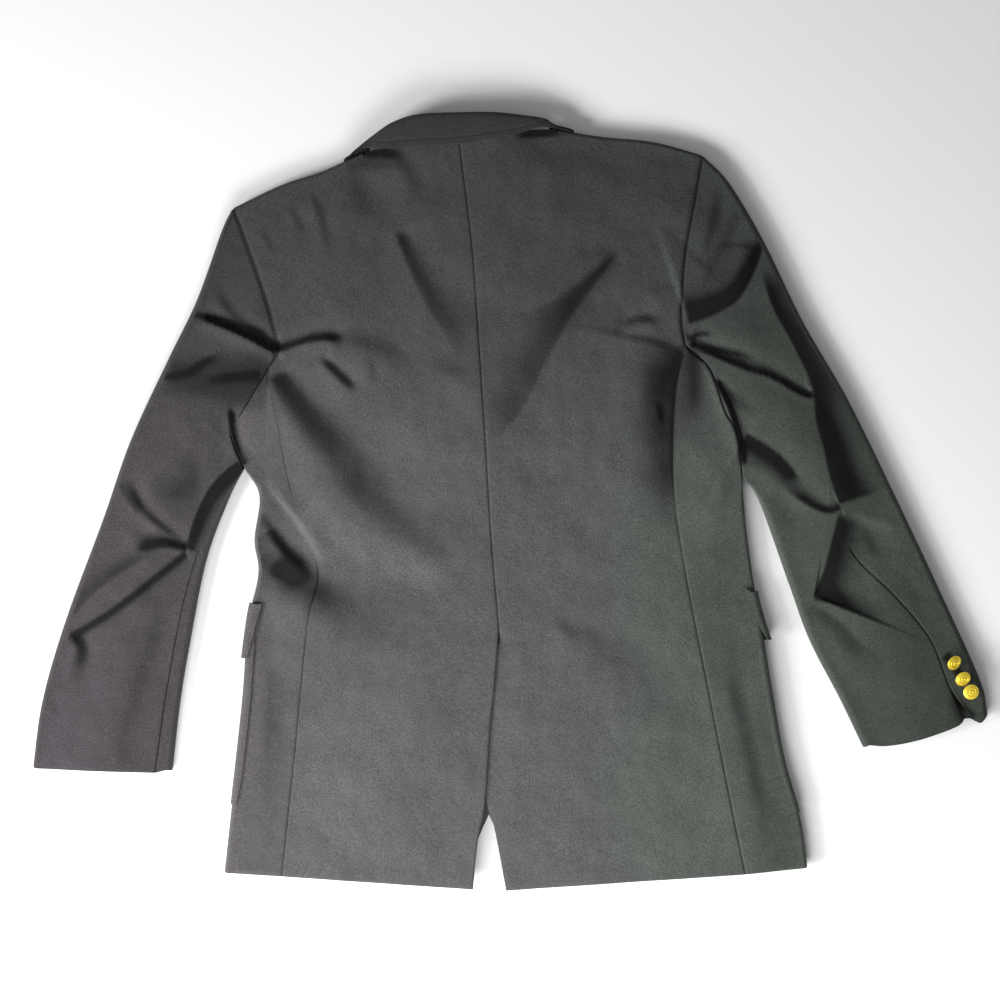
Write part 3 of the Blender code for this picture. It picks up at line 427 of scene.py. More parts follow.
def shell(name, strip, wall=WALL, away=0.0):
    """A wall of cloth as one closed mesh: its outer face lies 'away' above the strip."""
    points, normals, dark = strip
    rows, columns = points.shape[:2]
    outer = points + normals * away
    inner = points + normals * (away - wall)
    vertices = (np.vstack([outer.reshape(-1, 3), inner.reshape(-1, 3)]) + PLAN_SHIFT) * MM
    number = np.arange(rows * columns).reshape(rows, columns)
    upper = np.stack([number[:-1, :-1], number[1:, :-1], number[1:, 1:], number[:-1, 1:]], -1).reshape(-1, 4)
    rim = np.concatenate([number[0, :-1], number[:-1, -1], number[-1, :0:-1], number[:0:-1, 0]])
    after = np.roll(rim, -1)
    shift = rows * columns
    edge = np.stack([rim, after, after + shift, rim + shift], -1)
    faces = np.vstack([upper, upper[:, ::-1] + shift, edge])
    # The faces of the outer side have to look the way its normals do
    corner = outer.reshape(-1, 3)[upper]
    look = np.cross(corner[:, 2] - corner[:, 0], corner[:, 3] - corner[:, 1])
    if (look * normals.reshape(-1, 3)[upper[:, 0]]).sum() < 0:
        faces = faces[:, ::-1]
    mesh = bpy.data.meshes.new(name)
    mesh.from_pydata(vertices.tolist(), [], faces.tolist())
    mesh.update()
    across = np.linalg.norm(np.diff(points, axis=1), axis=-1)
    along = np.linalg.norm(np.diff(points, axis=0), axis=-1)
    across = np.concatenate([np.zeros((rows, 1)), np.cumsum(across, axis=1)], axis=1)
    along = np.concatenate([np.zeros((1, columns)), np.cumsum(along, axis=0)], axis=0)
    across -= across.mean(1)[:, None]
    place = np.tile(np.stack([across.ravel(), along.ravel()], -1) * MM, (2, 1))
    loops = np.array([loop.vertex_index for loop in mesh.loops])
    weave = mesh.uv_layers.new(name="weave")
    weave.data.foreach_set("uv", place[loops].ravel())
    # Painted shade, and painted highlight where negative, which the wool's colour takes up
    painted_shading = mesh.attributes.new("painted_shading", "FLOAT", "POINT")
    painted_shading.data.foreach_set("value", np.tile(np.clip(dark.ravel(), *PAINTED_SHADING_RANGE), 2))
    mesh.shade_smooth()
    mesh.set_sharp_from_angle(angle=math.radians(62))
    piece = bpy.data.objects.new(name, mesh)
    bpy.context.scene.collection.objects.link(piece)
    return piece


class Value:
    """One output of a shader node, which works in sums like a number."""

    def __init__(self, finish, socket):
        self.finish = finish
        self.socket = socket

    def __add__(self, other):
        return self.finish.maths("ADD", self, other)

    def __sub__(self, other):
        return self.finish.maths("SUBTRACT", self, other)

    def __rsub__(self, other):
        return self.finish.maths("SUBTRACT", other, self)

    def __mul__(self, other):
        return self.finish.maths("MULTIPLY", self, other)

    def __gt__(self, other):
        return self.finish.maths("GREATER_THAN", self, other)

    def __lt__(self, other):
        return self.finish.maths("LESS_THAN", self, other)

    __radd__ = __add__
    __rmul__ = __mul__


class Finish:
    """A material made of shader nodes."""

    def __init__(self, name):
        self.material = bpy.data.materials.new(name)
        self.material.use_nodes = True
        self.tree = self.material.node_tree
        self.shader = self.tree.nodes["Principled BSDF"]

    def feed(self, socket, value):
        if isinstance(value, Value):
            self.tree.links.new(value.socket, socket)
        else:
            socket.default_value = value

    def node(self, kind, settings, sockets, output=0):
        made = self.tree.nodes.new(kind)
        for name, value in settings.items():
            setattr(made, name, value)
        for name, value in sockets.items():
            self.feed(made.inputs[name], value)
        return Value(self, made.outputs[output])

    def maths(self, operation, *values):
        return self.node("ShaderNodeMath", {"operation": operation}, dict(enumerate(values)))

    def mix(self, share, first, second):
        """A colour between two, by a share."""
        return self.node("ShaderNodeMix", {"data_type": "RGBA"}, {0: share, 6: first, 7: second}, 2)

    def noise(self, place, scale, detail=2.0, rough=0.5):
        sockets = {"Vector": place, "Scale": scale, "Detail": detail, "Roughness": rough}
        return self.node("ShaderNodeTexNoise", {}, sockets)

    def ramp(self, value, low, high, to_low=0.0, to_high=1.0):
        """A value taken smoothly from one range to another."""
        sockets = {"Value": value, 1: low, 2: high, 3: to_low, 4: to_high}
        return self.node("ShaderNodeMapRange", {"interpolation_type": "SMOOTHSTEP"}, sockets)


# Worsted wool: nearly black, with lighter fibres mixed into the yarn, a fine twill and a little lint
wool = Finish("dark wool")
place = wool.node("ShaderNodeTexCoord", {}, {}, "Object")
weave = wool.node("ShaderNodeUVMap", {"uv_map": "weave"}, {})
# Painted shade and highlight, carried by the pieces' attribute
painted_shading = wool.node("ShaderNodeAttribute", {"attribute_name": "painted_shading"}, {}, "Fac")
across = wool.node("ShaderNodeSeparateXYZ", {}, {0: place}, 0)
upward = wool.node("ShaderNodeSeparateXYZ", {}, {0: place}, 1)
yarn = wool.ramp(wool.noise(place, 620.0, 2.0, 0.6), 0.3, 0.7)
mottle = wool.ramp(wool.noise(place, 75.0, 3.0, 0.6), 0.3, 0.7)
patches = wool.ramp(wool.noise(place, 9.0, 2.0, 0.5), 0.3, 0.7)
drift = wool.ramp(across + 0.06 * patches, -0.45, 0.50)
dye = wool.mix(drift, (0.070, 0.063, 0.070, 1), (0.058, 0.068, 0.057, 1))
level = 0.70 + 0.44 * yarn + 0.08 * mottle + 0.06 * patches
# Painted light in the colour: lighter towards the hem and darker towards the collar, times the painted shade
# and highlight
painted_light_falloff = wool.ramp(upward + 0.05 * patches, 0.0, 0.32)
level = level * (1 - 0.9 * painted_shading) * (1.26 - 0.44 * painted_light_falloff)
grey = wool.node("ShaderNodeCombineColor", {}, {0: level, 1: level, 2: level})
tone = wool.node("ShaderNodeMix", {"data_type": "RGBA", "blend_type": "MULTIPLY"},
                 {0: 1.0, 6: dye, 7: grey}, 2)
speck = wool.node("ShaderNodeTexVoronoi", {}, {"Vector": place, "Scale": 26.0}, "Distance")
chosen = wool.node("ShaderNodeTexVoronoi", {}, {"Vector": place, "Scale": 26.0}, "Color")
chosen = wool.node("ShaderNodeSeparateColor", {}, {0: chosen}, 0)
lint = (speck < 0.022) * (chosen > 0.93)
wool.feed(wool.shader.inputs["Base Color"], wool.mix(lint * 0.5, tone, (0.5, 0.48, 0.44, 1)))
wool.shader.inputs["Roughness"].default_value = 0.95
wool.shader.inputs["Specular IOR Level"].default_value = 0.12
wool.shader.inputs["Sheen Weight"].default_value = 0.12
wool.shader.inputs["Sheen Roughness"].default_value = 0.5
wool.shader.inputs["Sheen Tint"].default_value = (0.75, 0.76, 0.75, 1)
turned = wool.node("ShaderNodeMapping", {}, {"Vector": weave, "Rotation": (0, 0, math.radians(60))})
twill = wool.node("ShaderNodeTexWave", {}, {"Vector": turned, "Scale": 320.0, "Distortion": 1.5,
                                            "Detail Scale": 2.0})
nap_height = 0.5 * twill + 0.9 * yarn + 0.9 * mottle
bump = wool.node("ShaderNodeBump", {}, {"Strength": 0.55, "Distance": 0.00045, "Height": nap_height})
wool.feed(wool.shader.inputs["Normal"], bump)


def dress(piece, node):
    """Put the wool on a finished piece, in place of its solid."""
    piece.data.materials.append(wool.material)
    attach(piece, "root")
    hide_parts(node)


BACK_CUT = {"left": ((0.26, 0.76), 0.147), "right": ((0.27, 0.76), 0.162)}    # metres, square metres
BODY_ROWS_UPPER = 54              # armhole, shoulder to side seam
BODY_ROWS_LOWER = 165             # side seam, armhole to hem
BACK_ACROSS = 92
SHOULDER_ACROSS = 50              # the rest of the back's top edge is the neck
VENT_ROWS = 82
ROLL_STEPS = 12
EDGE_SPREAD = 1.38                # keeps the side panels' rows level
ARMHOLE_DEPTH = 2.4               # an armhole's seam is this much deeper than the others
UPPER_SHARE = 0.25                # how much of the back's length lies above the side seam
UNDERLAP_STEP = 2.1               # the right back runs this far under the left one
HIDDEN_WAIST = (14, -64)          # heights between which the left waist's bulge covers the side seam


def straight(start, end, at):
    at = np.asarray(at)[:, None]
    return (1 - at) * start + at * end


def lengths(table):
    return np.linalg.norm(np.diff(np.array(table, float), axis=0), axis=1).sum()


def shoulder_lines(side):
    """The shoulder's outline, its outward normals and where its roll leaves the upper face."""
    turn = 1 if side == "right" else -1
    at = shares(SHOULDER_ACROSS, lengths(SHOULDER[side]), last=True)
    edge = line_at(SHOULDER[side], at)
    beyond = line_at(SLEEVE_OUTER[side], [0.01])
    normals = outward(np.vstack([edge, beyond]), turn)[:-1]
    return edge, normals, edge - normals * (TOP - BODY_LEVEL) / 2


def underlap_drop(x, y):
    """The right back runs under the left one below the top of the vent."""
    cut = np.array(VENT_EDGE[::-1], float)
    beside = np.interp(y, cut[:, 1], cut[:, 0])
    below = smooth_step((VENT_EDGE[0][1] - y) / 12)
    return UNDERLAP_STEP * below * (1 - smooth_step((x - beside - 3) / 26))


def hidden_between(y, top, bottom):
    """0 where a bulge of cloth hides a seam, 1 elsewhere."""
    return 1 - smooth_step((top - y) / 7) * smooth_step((y - bottom) / 7)


side_rows = shares(BODY_ROWS_LOWER, lengths(SIDE_BACK["left"]), last=True)
for wearer_side in ("left", "right"):
    _, _, shoulder_top = shoulder_lines(wearer_side)
    upper = line_at(ARMHOLE_UPPER[wearer_side], np.linspace(0, 1, BODY_ROWS_UPPER + 1))
    upper[0] = shoulder_top[-1]
    outer_line = join(upper, line_at(SIDE_BACK[wearer_side], side_rows))
    steps = BODY_ROWS_UPPER + BODY_ROWS_LOWER
    centre = line_at(CENTRE_BACK, np.linspace(0, 1, steps - VENT_ROWS + 1))
    vent_rows = shares(VENT_ROWS, lengths(VENT_EDGE), last=True)
    vent = line_at(VENT_EDGE, vent_rows)
    if wearer_side == "right":
        vent = line_at([CENTRE_BACK[-1]] + VENT_UNDERLAP, vent_rows)
    inner_line = join(centre, vent)
    neck = line_at(NECK[wearer_side], shares(BACK_ACROSS - SHOULDER_ACROSS, 95, first=True))
    neck[-1] = shoulder_top[0]
    top_line = join(neck, shoulder_top)[::-1]
    run = np.concatenate([[0], np.cumsum(np.linalg.norm(np.diff(top_line, axis=0), axis=1))])
    across_shares = run / run[-1]
    hem = straight(outer_line[-1], inner_line[-1], across_shares)
    along_shares = join_shares(UPPER_SHARE, np.linspace(0, 1, BODY_ROWS_UPPER + 1), side_rows)
    plan = patch_grid(outer_line, inner_line, top_line, hem, along_shares, across_shares)
    strip = lift(plan, top_height, 1)
    if wearer_side == "right":
        strip[0][..., 2] -= underlap_drop(plan[..., 0], plan[..., 1])
    depth = np.where(np.arange(len(outer_line)) <= BODY_ROWS_UPPER, ARMHOLE_DEPTH, 1.0)
    if wearer_side == "left":
        depth = depth * hidden_between(outer_line[:, 1], *HIDDEN_WAIST)
    back = shell("back_panel_" + wearer_side, turn_in(strip, {"end": 1.0, "first": depth, "last": 1.0}))
    dress(back, "back_" + wearer_side)
    flat, area = BACK_CUT[wearer_side]
    "front_panel_" + wearer_side


# The side panels. A narrow panel either side of the back goes round the body's edge to the front,
# sewn to both and into the lower half of the armhole. Laid flat, each folds along the outline.
SIDE_FRONT = {
    "left": [(-226, 125), (-203, 17), (-196, -66), (-208, -254), (-218, -376)],
    "right": [(160, 140), (172, 21), (182, -59), (212, -209), (232, -374)],
}
FRONT_ARMHOLE_UPPER = {
    "left": [(-278, 293), (-250, 240), (-230, 180), (-226, 125)],
    "right": [(193, 346), (166, 290), (155, 215), (160, 140)],
}
FRONT_ARMHOLE_LOWER = {
    "left": [(-226, 125), (-238, 75), (-266, 33)],
    "right": [(160, 140), (185, 75), (232, 23)],
}
SIDE_CUT = {"left": ((0.16, 0.50), 0.056), "right": ((0.17, 0.52), 0.0605)}
SIDE_UPPER = 36                   # columns from the seam to the rolled edge
SIDE_LOWER = 20                   # and on to the seam on the floor side
SETTLE = 9                        # how soon the rows lose the armhole's curve
OPENING = 0.14                    # a roll starts closed at the armpit and opens over this share


def rolled_edge(edge, normals, level, closing):
    """The half round of cloth along an edge, from the upper face to the lower one."""
    lower, _ = level(edge[:, 0], edge[:, 1])
    half = (TOP - lower) / 2
    middle = edge - normals * (half * closing)[:, None]
    angle = np.linspace(math.pi / 2, -math.pi / 2, ROLL_STEPS + 1)[None, :, None]
    reach = (half * closing)[:, None, None] * np.cos(angle)
    height = (lower + half)[:, None, None] + half[:, None, None] * np.sin(angle)
    points = np.dstack([middle[:, None] + normals[:, None] * reach, height])
    looks = np.dstack([normals[:, None] * np.cos(angle), np.broadcast_to(np.sin(angle), height.shape)])
    return (points, looks, np.zeros(points.shape[:2])), middle


def wrapped_panel(rows, seam, edge, normals, start_top, floor_seam, start_floor, level, closing, hem=None):
    """A panel from its seam on the upper side round a rolled edge to its seam on the floor side.

    hem is the lower edge's own points on the upper side, where it isn't straight.
    """
    roll, middle = rolled_edge(edge, normals, level, closing)
    strips = []
    for first, last, start, height, up in ((seam, middle, start_top, top_height, 1),
                                           (middle, floor_seam, start_floor, level, -1)):
        start = start.copy()
        start[-1 if up > 0 else 0] = middle[0]
        run = np.concatenate([[0], np.cumsum(np.linalg.norm(np.diff(start, axis=0), axis=1))])
        across = run / run[-1]
        end = straight(first[-1], last[-1], across)
        if hem and up > 0:
            end = line_at([tuple(first[-1])] + hem + [tuple(last[-1])], across)
        plan = patch_grid(first, last, start, end, rows, across, SETTLE)
        strips.append(lift(plan, height, up))
    return side_by_side(strips[0], roll, strips[1])


side_panels = {}
for wearer_side in ("left", "right"):
    turn = 1 if wearer_side == "right" else -1
    edge = line_at(BODY_EDGE[wearer_side], side_rows ** EDGE_SPREAD)
    lower = line_at(ARMHOLE_LOWER[wearer_side], shares(SIDE_UPPER, 110, first=True))
    floor_lower = line_at(FRONT_ARMHOLE_LOWER[wearer_side][::-1], shares(SIDE_LOWER, 100, last=True))
    side_panels[wearer_side] = wrapped_panel(
        side_rows, line_at(SIDE_BACK[wearer_side], side_rows), edge, outward(edge, turn), lower,
        line_at(SIDE_FRONT[wearer_side], side_rows), floor_lower, body_level,
        np.clip(side_rows / OPENING, 0, 1))
    seam_y = line_at(SIDE_BACK[wearer_side], side_rows)[:, 1]
    depth = hidden_between(seam_y, *HIDDEN_WAIST) if wearer_side == "left" else 1.0
    edges = {"start": ARMHOLE_DEPTH, "end": 1.0, "first": depth, "last": 1.0}
    panel = shell("side_panel_" + wearer_side, turn_in(side_panels[wearer_side], edges))
    dress(panel, "side_" + wearer_side)
    flat, area = SIDE_CUT[wearer_side]
    "front_panel_" + wearer_side


# The fronts. They lie face down under the back, joined to it over the shoulders. The left one is next
# to the surface and the right one crosses above it, so that as worn the left one is outermost. The
# photograph hides them, so they are plain.
FRONT_EDGE = {
    "left": [(-148, 348), (-60, 207), (40, 42), (61, 5), (66, -120), (30, -225), (-20, -312), (-48, -381)],
    "right": [(48, 372), (0, 258), (-70, 92), (-97, 5), (-95, -120), (-62, -225), (-22, -312), (8, -381)],
}
FRONT_CUT = {"left": ((0.29, 0.74), 0.157), "right": ((0.31, 0.75), 0.177)}
FRONT_SPREAD = 0.9                # keeps their rows level
OVERLAP_STEP = 1.8                # the right front lies this much above the left one
STEP_START = 55.0                 # past the left front's edge
STEP_REACH = 60.0


def right_front_level(x, y):
    """The right front steps up where the left front lies under it."""
    edge = np.array(FRONT_EDGE["left"][::-1], float)
    cover = np.interp(y, edge[:, 1], edge[:, 0])
    step = OVERLAP_STEP * (1 - smooth_step((x - cover - STEP_START) / STEP_REACH))
    return BODY_LEVEL + step, np.zeros_like(x)


front_panels = {}
for wearer_side in ("left", "right"):
    level_here = body_level if wearer_side == "left" else right_front_level
    shoulder, shoulder_normals, _ = shoulder_lines(wearer_side)
    roll, middle = rolled_edge(shoulder, shoulder_normals, level_here, np.ones(len(shoulder)))
    upper = line_at(FRONT_ARMHOLE_UPPER[wearer_side], np.linspace(0, 1, BODY_ROWS_UPPER + 1))
    upper[0] = middle[-1]
    outer_line = join(upper, line_at(SIDE_FRONT[wearer_side], side_rows))
    spread = np.linspace(0, 1, len(outer_line)) ** FRONT_SPREAD
    front_edge = line_at(FRONT_EDGE[wearer_side], spread)
    front_edge[0] = middle[0]
    run = np.concatenate([[0], np.cumsum(np.linalg.norm(np.diff(middle[::-1], axis=0), axis=1))])
    across_shares = run / run[-1]
    hem = straight(outer_line[-1], front_edge[-1], across_shares)
    plan = patch_grid(outer_line, front_edge, middle[::-1], hem, along_shares, across_shares)
    strip = lift(plan, level_here, -1)
    turned_roll = [part[::-1].swapaxes(0, 1) for part in roll]
    strip = [np.concatenate([turned_roll[part], strip[part][1:]]) for part in range(3)]
    front_panels[wearer_side] = strip
    panel = shell("front_panel_" + wearer_side, turn_in(strip, {"first": 1.0, "end": 1.0}))
    dress(panel, "front_" + wearer_side)
    flat, area = FRONT_CUT[wearer_side]
    "lapel_cloth_" + wearer_side


# The patch pockets. A square patch with rounded corners is stitched round its edge onto the front
# and side panel, and runs round the body's edge so that a strip of it shows from behind.
SIDE_STEPS = 16                   # rows below are in sixteenths of the side seam
TRIM_WALL = 1.2
TRIM_GAP = 0.3
POCKET = {
    # first row, last row, width past the rolled edge in millimetres
    "left": (7.8, 14.0, 3.0),
    "right": (7.5, 14.3, 2.5),
}


def trim_strip(side, shares_down, inset, front_columns):
    """What lies on a side panel and its front: rows at these shares, starting inset from the roll."""
    side_strip, front_strip = side_panels[side], front_panels[side]
    position = np.interp(shares_down, side_rows, np.arange(len(side_rows)))
    below = np.clip(position.astype(int), 0, len(side_rows) - 2)
    part_way = (position - below)[:, None, None]
    hidden = ROLL_STEPS + BODY_ROWS_UPPER
    result = []
    for part in (0, 1):
        panel = (1 - part_way) * side_strip[part][below] + part_way * side_strip[part][below + 1]
        front = front_strip[part][hidden:]
        front = (1 - part_way) * front[below] + part_way * front[below + 1]
        result.append((panel, front))
    (panel, front), (panel_look, front_look) = result
    inward = panel[:, SIDE_UPPER::-1]
    run = np.cumsum(np.linalg.norm(np.diff(inward[..., :2], axis=1), axis=-1), axis=1)
    run = np.concatenate([np.zeros((len(run), 1)), run], axis=1)
    start = []
    for row in range(len(run)):
        wanted = inset[row] * np.linspace(1, 0.12, 6)
        places = [np.interp(wanted, run[row], inward[row, :, axis]) for axis in range(3)]
        start.append(np.column_stack(places))
    start_look = np.zeros((len(run), 6, 3))
    start_look[..., 2] = 1
    points = np.concatenate([start, panel[:, SIDE_UPPER:], front[:, 1:front_columns]], axis=1)
    looks = [start_look, panel_look[:, SIDE_UPPER:], front_look[:, 1:front_columns]]
    looks = np.concatenate(looks, axis=1)
    return points, looks, np.zeros(points.shape[:2])


for wearer_side in ("left", "right"):
    first_row, last_row, width = POCKET[wearer_side]
    down = np.linspace(0, 1, 71)
    inset = width * (1 - down ** 14) + 0.05
    strip = trim_strip(wearer_side, (first_row + (last_row - first_row) * down) / SIDE_STEPS, inset, 18)
    patch = shell("patch_pocket_" + wearer_side, strip, TRIM_WALL, TRIM_GAP + TRIM_WALL)
    dress(patch, "pocket_" + wearer_side)
    "front_panel_" + wearer_side


# The pocket flaps. Each is two layers of the cloth, sewn on above its pocket's mouth, with its free
# rear corner standing away from the body.
FLAP = {
    # first row, last row, width past the rolled edge above and below, how far the corner stands away
    "left": (7.35, 9.35, 6.0, 2.0, 5.0),
    "right": (6.5, 8.45, 9.0, 3.5, 11.0),
}
for wearer_side in ("left", "right"):
    first_row, last_row, top_width, low_width, flare = FLAP[wearer_side]
    turn = 1 if wearer_side == "right" else -1
    down = np.linspace(0, 1, 25)
    inset = top_width + (low_width - top_width) * down
    strip = trim_strip(wearer_side, (first_row + (last_row - first_row) * down) / SIDE_STEPS, inset, 18)
    edge = line_at(BODY_EDGE[wearer_side], side_rows ** EDGE_SPREAD)
    facing = outward(edge, turn)[len(side_rows) // 2]
    near_edge = np.exp(-np.arange(strip[0].shape[1]) / 18.0)
    strip[0][..., :2] += facing * (flare * down[:, None] ** 1.6 * near_edge)[..., None]
    flap = shell("pocket_flap_" + wearer_side, strip, TRIM_WALL, 2 * (TRIM_GAP + TRIM_WALL))
    dress(flap, "flap_" + wearer_side)
    "patch_pocket_" + wearer_side


# The sleeves. Each is cut in two, a wide top sleeve and a narrow under sleeve, sewn into the armhole
# and to each other down both sides. Laid flat they lean out from the body and crease at the elbow.
SLEEVE_SEAM = {
    "left": [(-291, 8), (-305, -30), (-319, -74), (-329, -113), (-343, -189), (-355, -272)],
    "right": [(229, 193), (262, 168), (290, 142), (310, 87), (331, -4), (342, -51), (384, -94),
              (420, -138), (440, -187), (460, -217)],
}
FLOOR_SEAM = {
    "left": [(-310, -20), (-372, -139), (-420, -270)],
    "right": [(240, 60), (278, -30), (325, -139), (378, -243)],
}
SEAM_START = {"left": 105, "right": 40}    # of the 120 steps round the upper armhole
SLEEVE_ROWS = 290
SLEEVE_ACROSS = {"left": (74, 20), "right": (36, 60)}    # columns of top and under sleeve above
SLEEVE_RAMP = 55.0                # length over which a sleeve comes down to the surface
BUTTON_RISE = 3.4                 # the left cuff lies on its own buttons
BUTTON_RISE_REACH = 60.0
CUFF_BUTTONS_LEFT = [(-444, -192), (-448, -209), (-452, -226)]
CUFF_BUTTON_RADIUS = 7.5
SLEEVE_CUT = {
    "top_sleeve_left": ((0.23, 0.62), 0.109),
    "top_sleeve_right": ((0.22, 0.62), 0.099),
    "under_sleeve_left": ((0.09, 0.40), 0.0216),
    "under_sleeve_right": ((0.14, 0.60), 0.0557),
}
SLEEVE_PAINTED_SHADE = {"left": (0.30, 0.42), "right": (0.02, 0.36)}    # painted shade on them at the armhole and at the cuff
SLIT_START = 0.925                # share of the sleeve's length where the right cuff's slit begins
SLIT_STRIP = np.array([1.5, 0.5, 2.6])    # how the cloth opens there, with the buttons and beside them
SLIT_BELOW = np.array([-4.0, 0.5, -4.0])
TIP_X = 471                       # the strip with the buttons ends in a blunt point
TIP_START = 0.965
TIP_DROP = 8.0
CUFF_HEM = [(446, -226), (408, -239), (378, -245)]
HIDDEN_SEAM = {"left": (400, -52), "right": (400, -50)}    # heights between which its folds cover it

ARMHOLES = []
for wearer_side in ("left", "right"):
    for above, below in ((ARMHOLE_UPPER, ARMHOLE_LOWER), (FRONT_ARMHOLE_UPPER, FRONT_ARMHOLE_LOWER)):
        ARMHOLES.append(join(line_at(above[wearer_side], EVEN_60), line_at(below[wearer_side], EVEN_60)))


def sleeve_level(x, y):
    """Height of a sleeve's lower face: on the surface, but raised at the armhole and its buttons."""
    reach = np.min([nearest(line, x, y)[0] for line in ARMHOLES], axis=0)
    ramp = BODY_LEVEL * (1 - smooth_step(reach / SLEEVE_RAMP))
    row = np.array(CUFF_BUTTONS_LEFT, float)
    near = 1 - smooth_step((nearest(row, x, y)[0] - 2 * CUFF_BUTTON_RADIUS) / BUTTON_RISE_REACH)
    return np.maximum(ramp, BUTTON_RISE * near), np.zeros_like(x)


sleeve_rows = shares(SLEEVE_ROWS, 620, first=True, last=True)
for wearer_side in ("left", "right"):
    turn = 1 if wearer_side == "right" else -1
    outer = line_at(SLEEVE_OUTER[wearer_side], sleeve_rows)
    inner = line_at(SLEEVE_INNER[wearer_side], sleeve_rows)
    before = line_at(SHOULDER[wearer_side], [0.99])
    outer_normals = outward(np.vstack([before, outer]), turn)[1:]
    hole = ARMHOLES[0] if wearer_side == "left" else ARMHOLES[2]
    split = SEAM_START[wearer_side]
    seam = line_at([tuple(hole[split])] + SLEEVE_SEAM[wearer_side], sleeve_rows)
    front_upper = FRONT_ARMHOLE_UPPER[wearer_side]
    floor_seam = line_at([front_upper[-1]] + FLOOR_SEAM[wearer_side], sleeve_rows)
    top_columns, under_columns = SLEEVE_ACROSS[wearer_side]
    closed = np.clip(sleeve_rows / OPENING, 0, 1)
    top_hole = line_at(hole[:split + 1][::-1], shares(top_columns, 2.0 * top_columns, first=True))
    under_hole = line_at(hole[split:], shares(under_columns, 2.0 * under_columns, first=True))
    top_floor = line_at(front_upper, shares(30, 160, last=True))
    under_floor = line_at(FRONT_ARMHOLE_LOWER[wearer_side][::-1], shares(20, 100, last=True))
    top_sleeve = wrapped_panel(sleeve_rows, seam, outer, outer_normals, top_hole, floor_seam, top_floor,
                               sleeve_level, np.ones_like(closed))
    hem = CUFF_HEM if wearer_side == "right" else None
    under_sleeve = wrapped_panel(sleeve_rows, seam, inner, outward(inner, -turn), under_hole, floor_seam,
                                 under_floor, sleeve_level, closed, hem)
    depth = hidden_between(seam[:, 1], *HIDDEN_SEAM[wearer_side])
    edges = {"start": ARMHOLE_DEPTH, "end": 1.0, "first": depth, "last": 1.0}
    if wearer_side == "right":
        # The seam opens into the cuff's slit, and the strip with the buttons stands away from it
        opened = smooth_step((sleeve_rows - SLIT_START) / (1 - SLIT_START))[:, None]
        for part, shift in ((top_sleeve[0], SLIT_STRIP), (under_sleeve[0], SLIT_BELOW)):
            near_slit = np.exp(-(np.arange(part.shape[1]) / 6.0) ** 2)[None]
            part += (opened * near_slit)[..., None] * shift
        # Painted shade in the slit's gap
        under_sleeve[2][:, :12] += opened * np.exp(-(np.arange(12) / 4.0) ** 2)
        near_hem = smooth_step((sleeve_rows - TIP_START) / (1 - TIP_START))[:, None]
        tip = np.exp(-((top_sleeve[0][..., 0] - TIP_X) / 7) ** 2) * near_hem
        top_sleeve[0][..., 1] -= TIP_DROP * tip
    # Painted shade over each sleeve, from its armhole to its cuff
    for strip in (top_sleeve, under_sleeve):
        strip[2][:] += (SLEEVE_PAINTED_SHADE[wearer_side][0] * (1 - sleeve_rows)
                        + SLEEVE_PAINTED_SHADE[wearer_side][1] * sleeve_rows)[:, None]
    for name, node, strip in (("top_sleeve_", "sleeve_top_", top_sleeve),
                              ("under_sleeve_", "sleeve_under_", under_sleeve)):
        sleeve = shell(name + wearer_side, turn_in(strip, edges))
        dress(sleeve, node + wearer_side)
        flat, area = SLEEVE_CUT[name + wearer_side]


# The collar. Two layers of wool with canvas between, folded at the roll so that its outer half, the
# fall, lies back over the stand and the neck seam. A row of topstitching follows the fall's edge, and
# the ends turn under to meet the lapels.
COLLAR_WALL = 2.2
COLLAR_MIDDLE = (TOP + BODY_LEVEL) / 2
COLLAR = [
    # fall x, y, out, roll x, y, out, seam x, y, tilt, heading
    (-152, 305, 7.4, -120, 306, 7.4, -124, 306, -90, 115),
    (-158, 324, 7.4, -131, 326, 7.4, -135, 326, -90, 115),
    (-164, 336, 7.4, -139, 347, 7.4, -144, 345, -90, 115),
    (-164, 336, 7.1, -139, 348, 7.1, -144, 345.6, -45, 115),
    (-164, 336, 7.0, -139, 349, 7.1, -144, 345.8, 0, 115),
    (-162, 338, 7.4, -138, 355, 7.4, -142, 348, 45, 115),
    (-149, 350, 9.5, -136, 363, 8.5, -135, 353, 72, 112),
    (-128, 352, 11.6, -118, 378, 10.8, -120, 358, 90, 110),
    (-95, 354, 13.0, -92, 386, 12.4, -94, 364.5, 90, 98),
    (-54, 356, 13.2, -50, 388, 12.6, -52, 371, 90, 90),
    (-20, 361, 13.2, -14, 388, 12.4, -17, 373, 90, 82),
    (8, 367, 12.0, 16, 385, 10.8, 14, 375, 90, 80),
    (33, 372, 9.8, 36, 380, 8.8, 37, 374.5, 76, 80),
    (61, 365.5, 7.4, 39, 371, 7.4, 44, 370, 45, 80),
    (61, 365.5, 7.0, 39, 370, 7.1, 44.5, 368.6, 0, 80),
    (61, 365.5, 7.1, 39, 369, 7.1, 44.5, 368.4, -45, 80),
    (61, 364, 7.4, 39, 366, 7.4, 44, 366, -90, 80),
    (60, 348, 7.4, 34, 350, 7.4, 38, 350, -90, 80),
    (56, 326, 7.4, 28, 327, 7.4, 32, 327, -90, 80),
]
STAND_ROWS = slice(4 * 16, 13 * 16 + 1)
STAND_TUCK = (0, 2.0, -4.5)       # its lower edge goes down outside the neck seam
STITCH_INSET = 6.6                # from the fall's edge
STITCH_PITCH = 2.9
STITCH_LENGTH = 2.1
STITCH_WIDTH = 0.5

collar_rows = fine_line(COLLAR)
tilt = np.radians(collar_rows[:, 8])
heading = np.radians(collar_rows[:, 9])
face = np.column_stack([np.cos(tilt) * np.cos(heading), np.cos(tilt) * np.sin(heading), np.sin(tilt)])


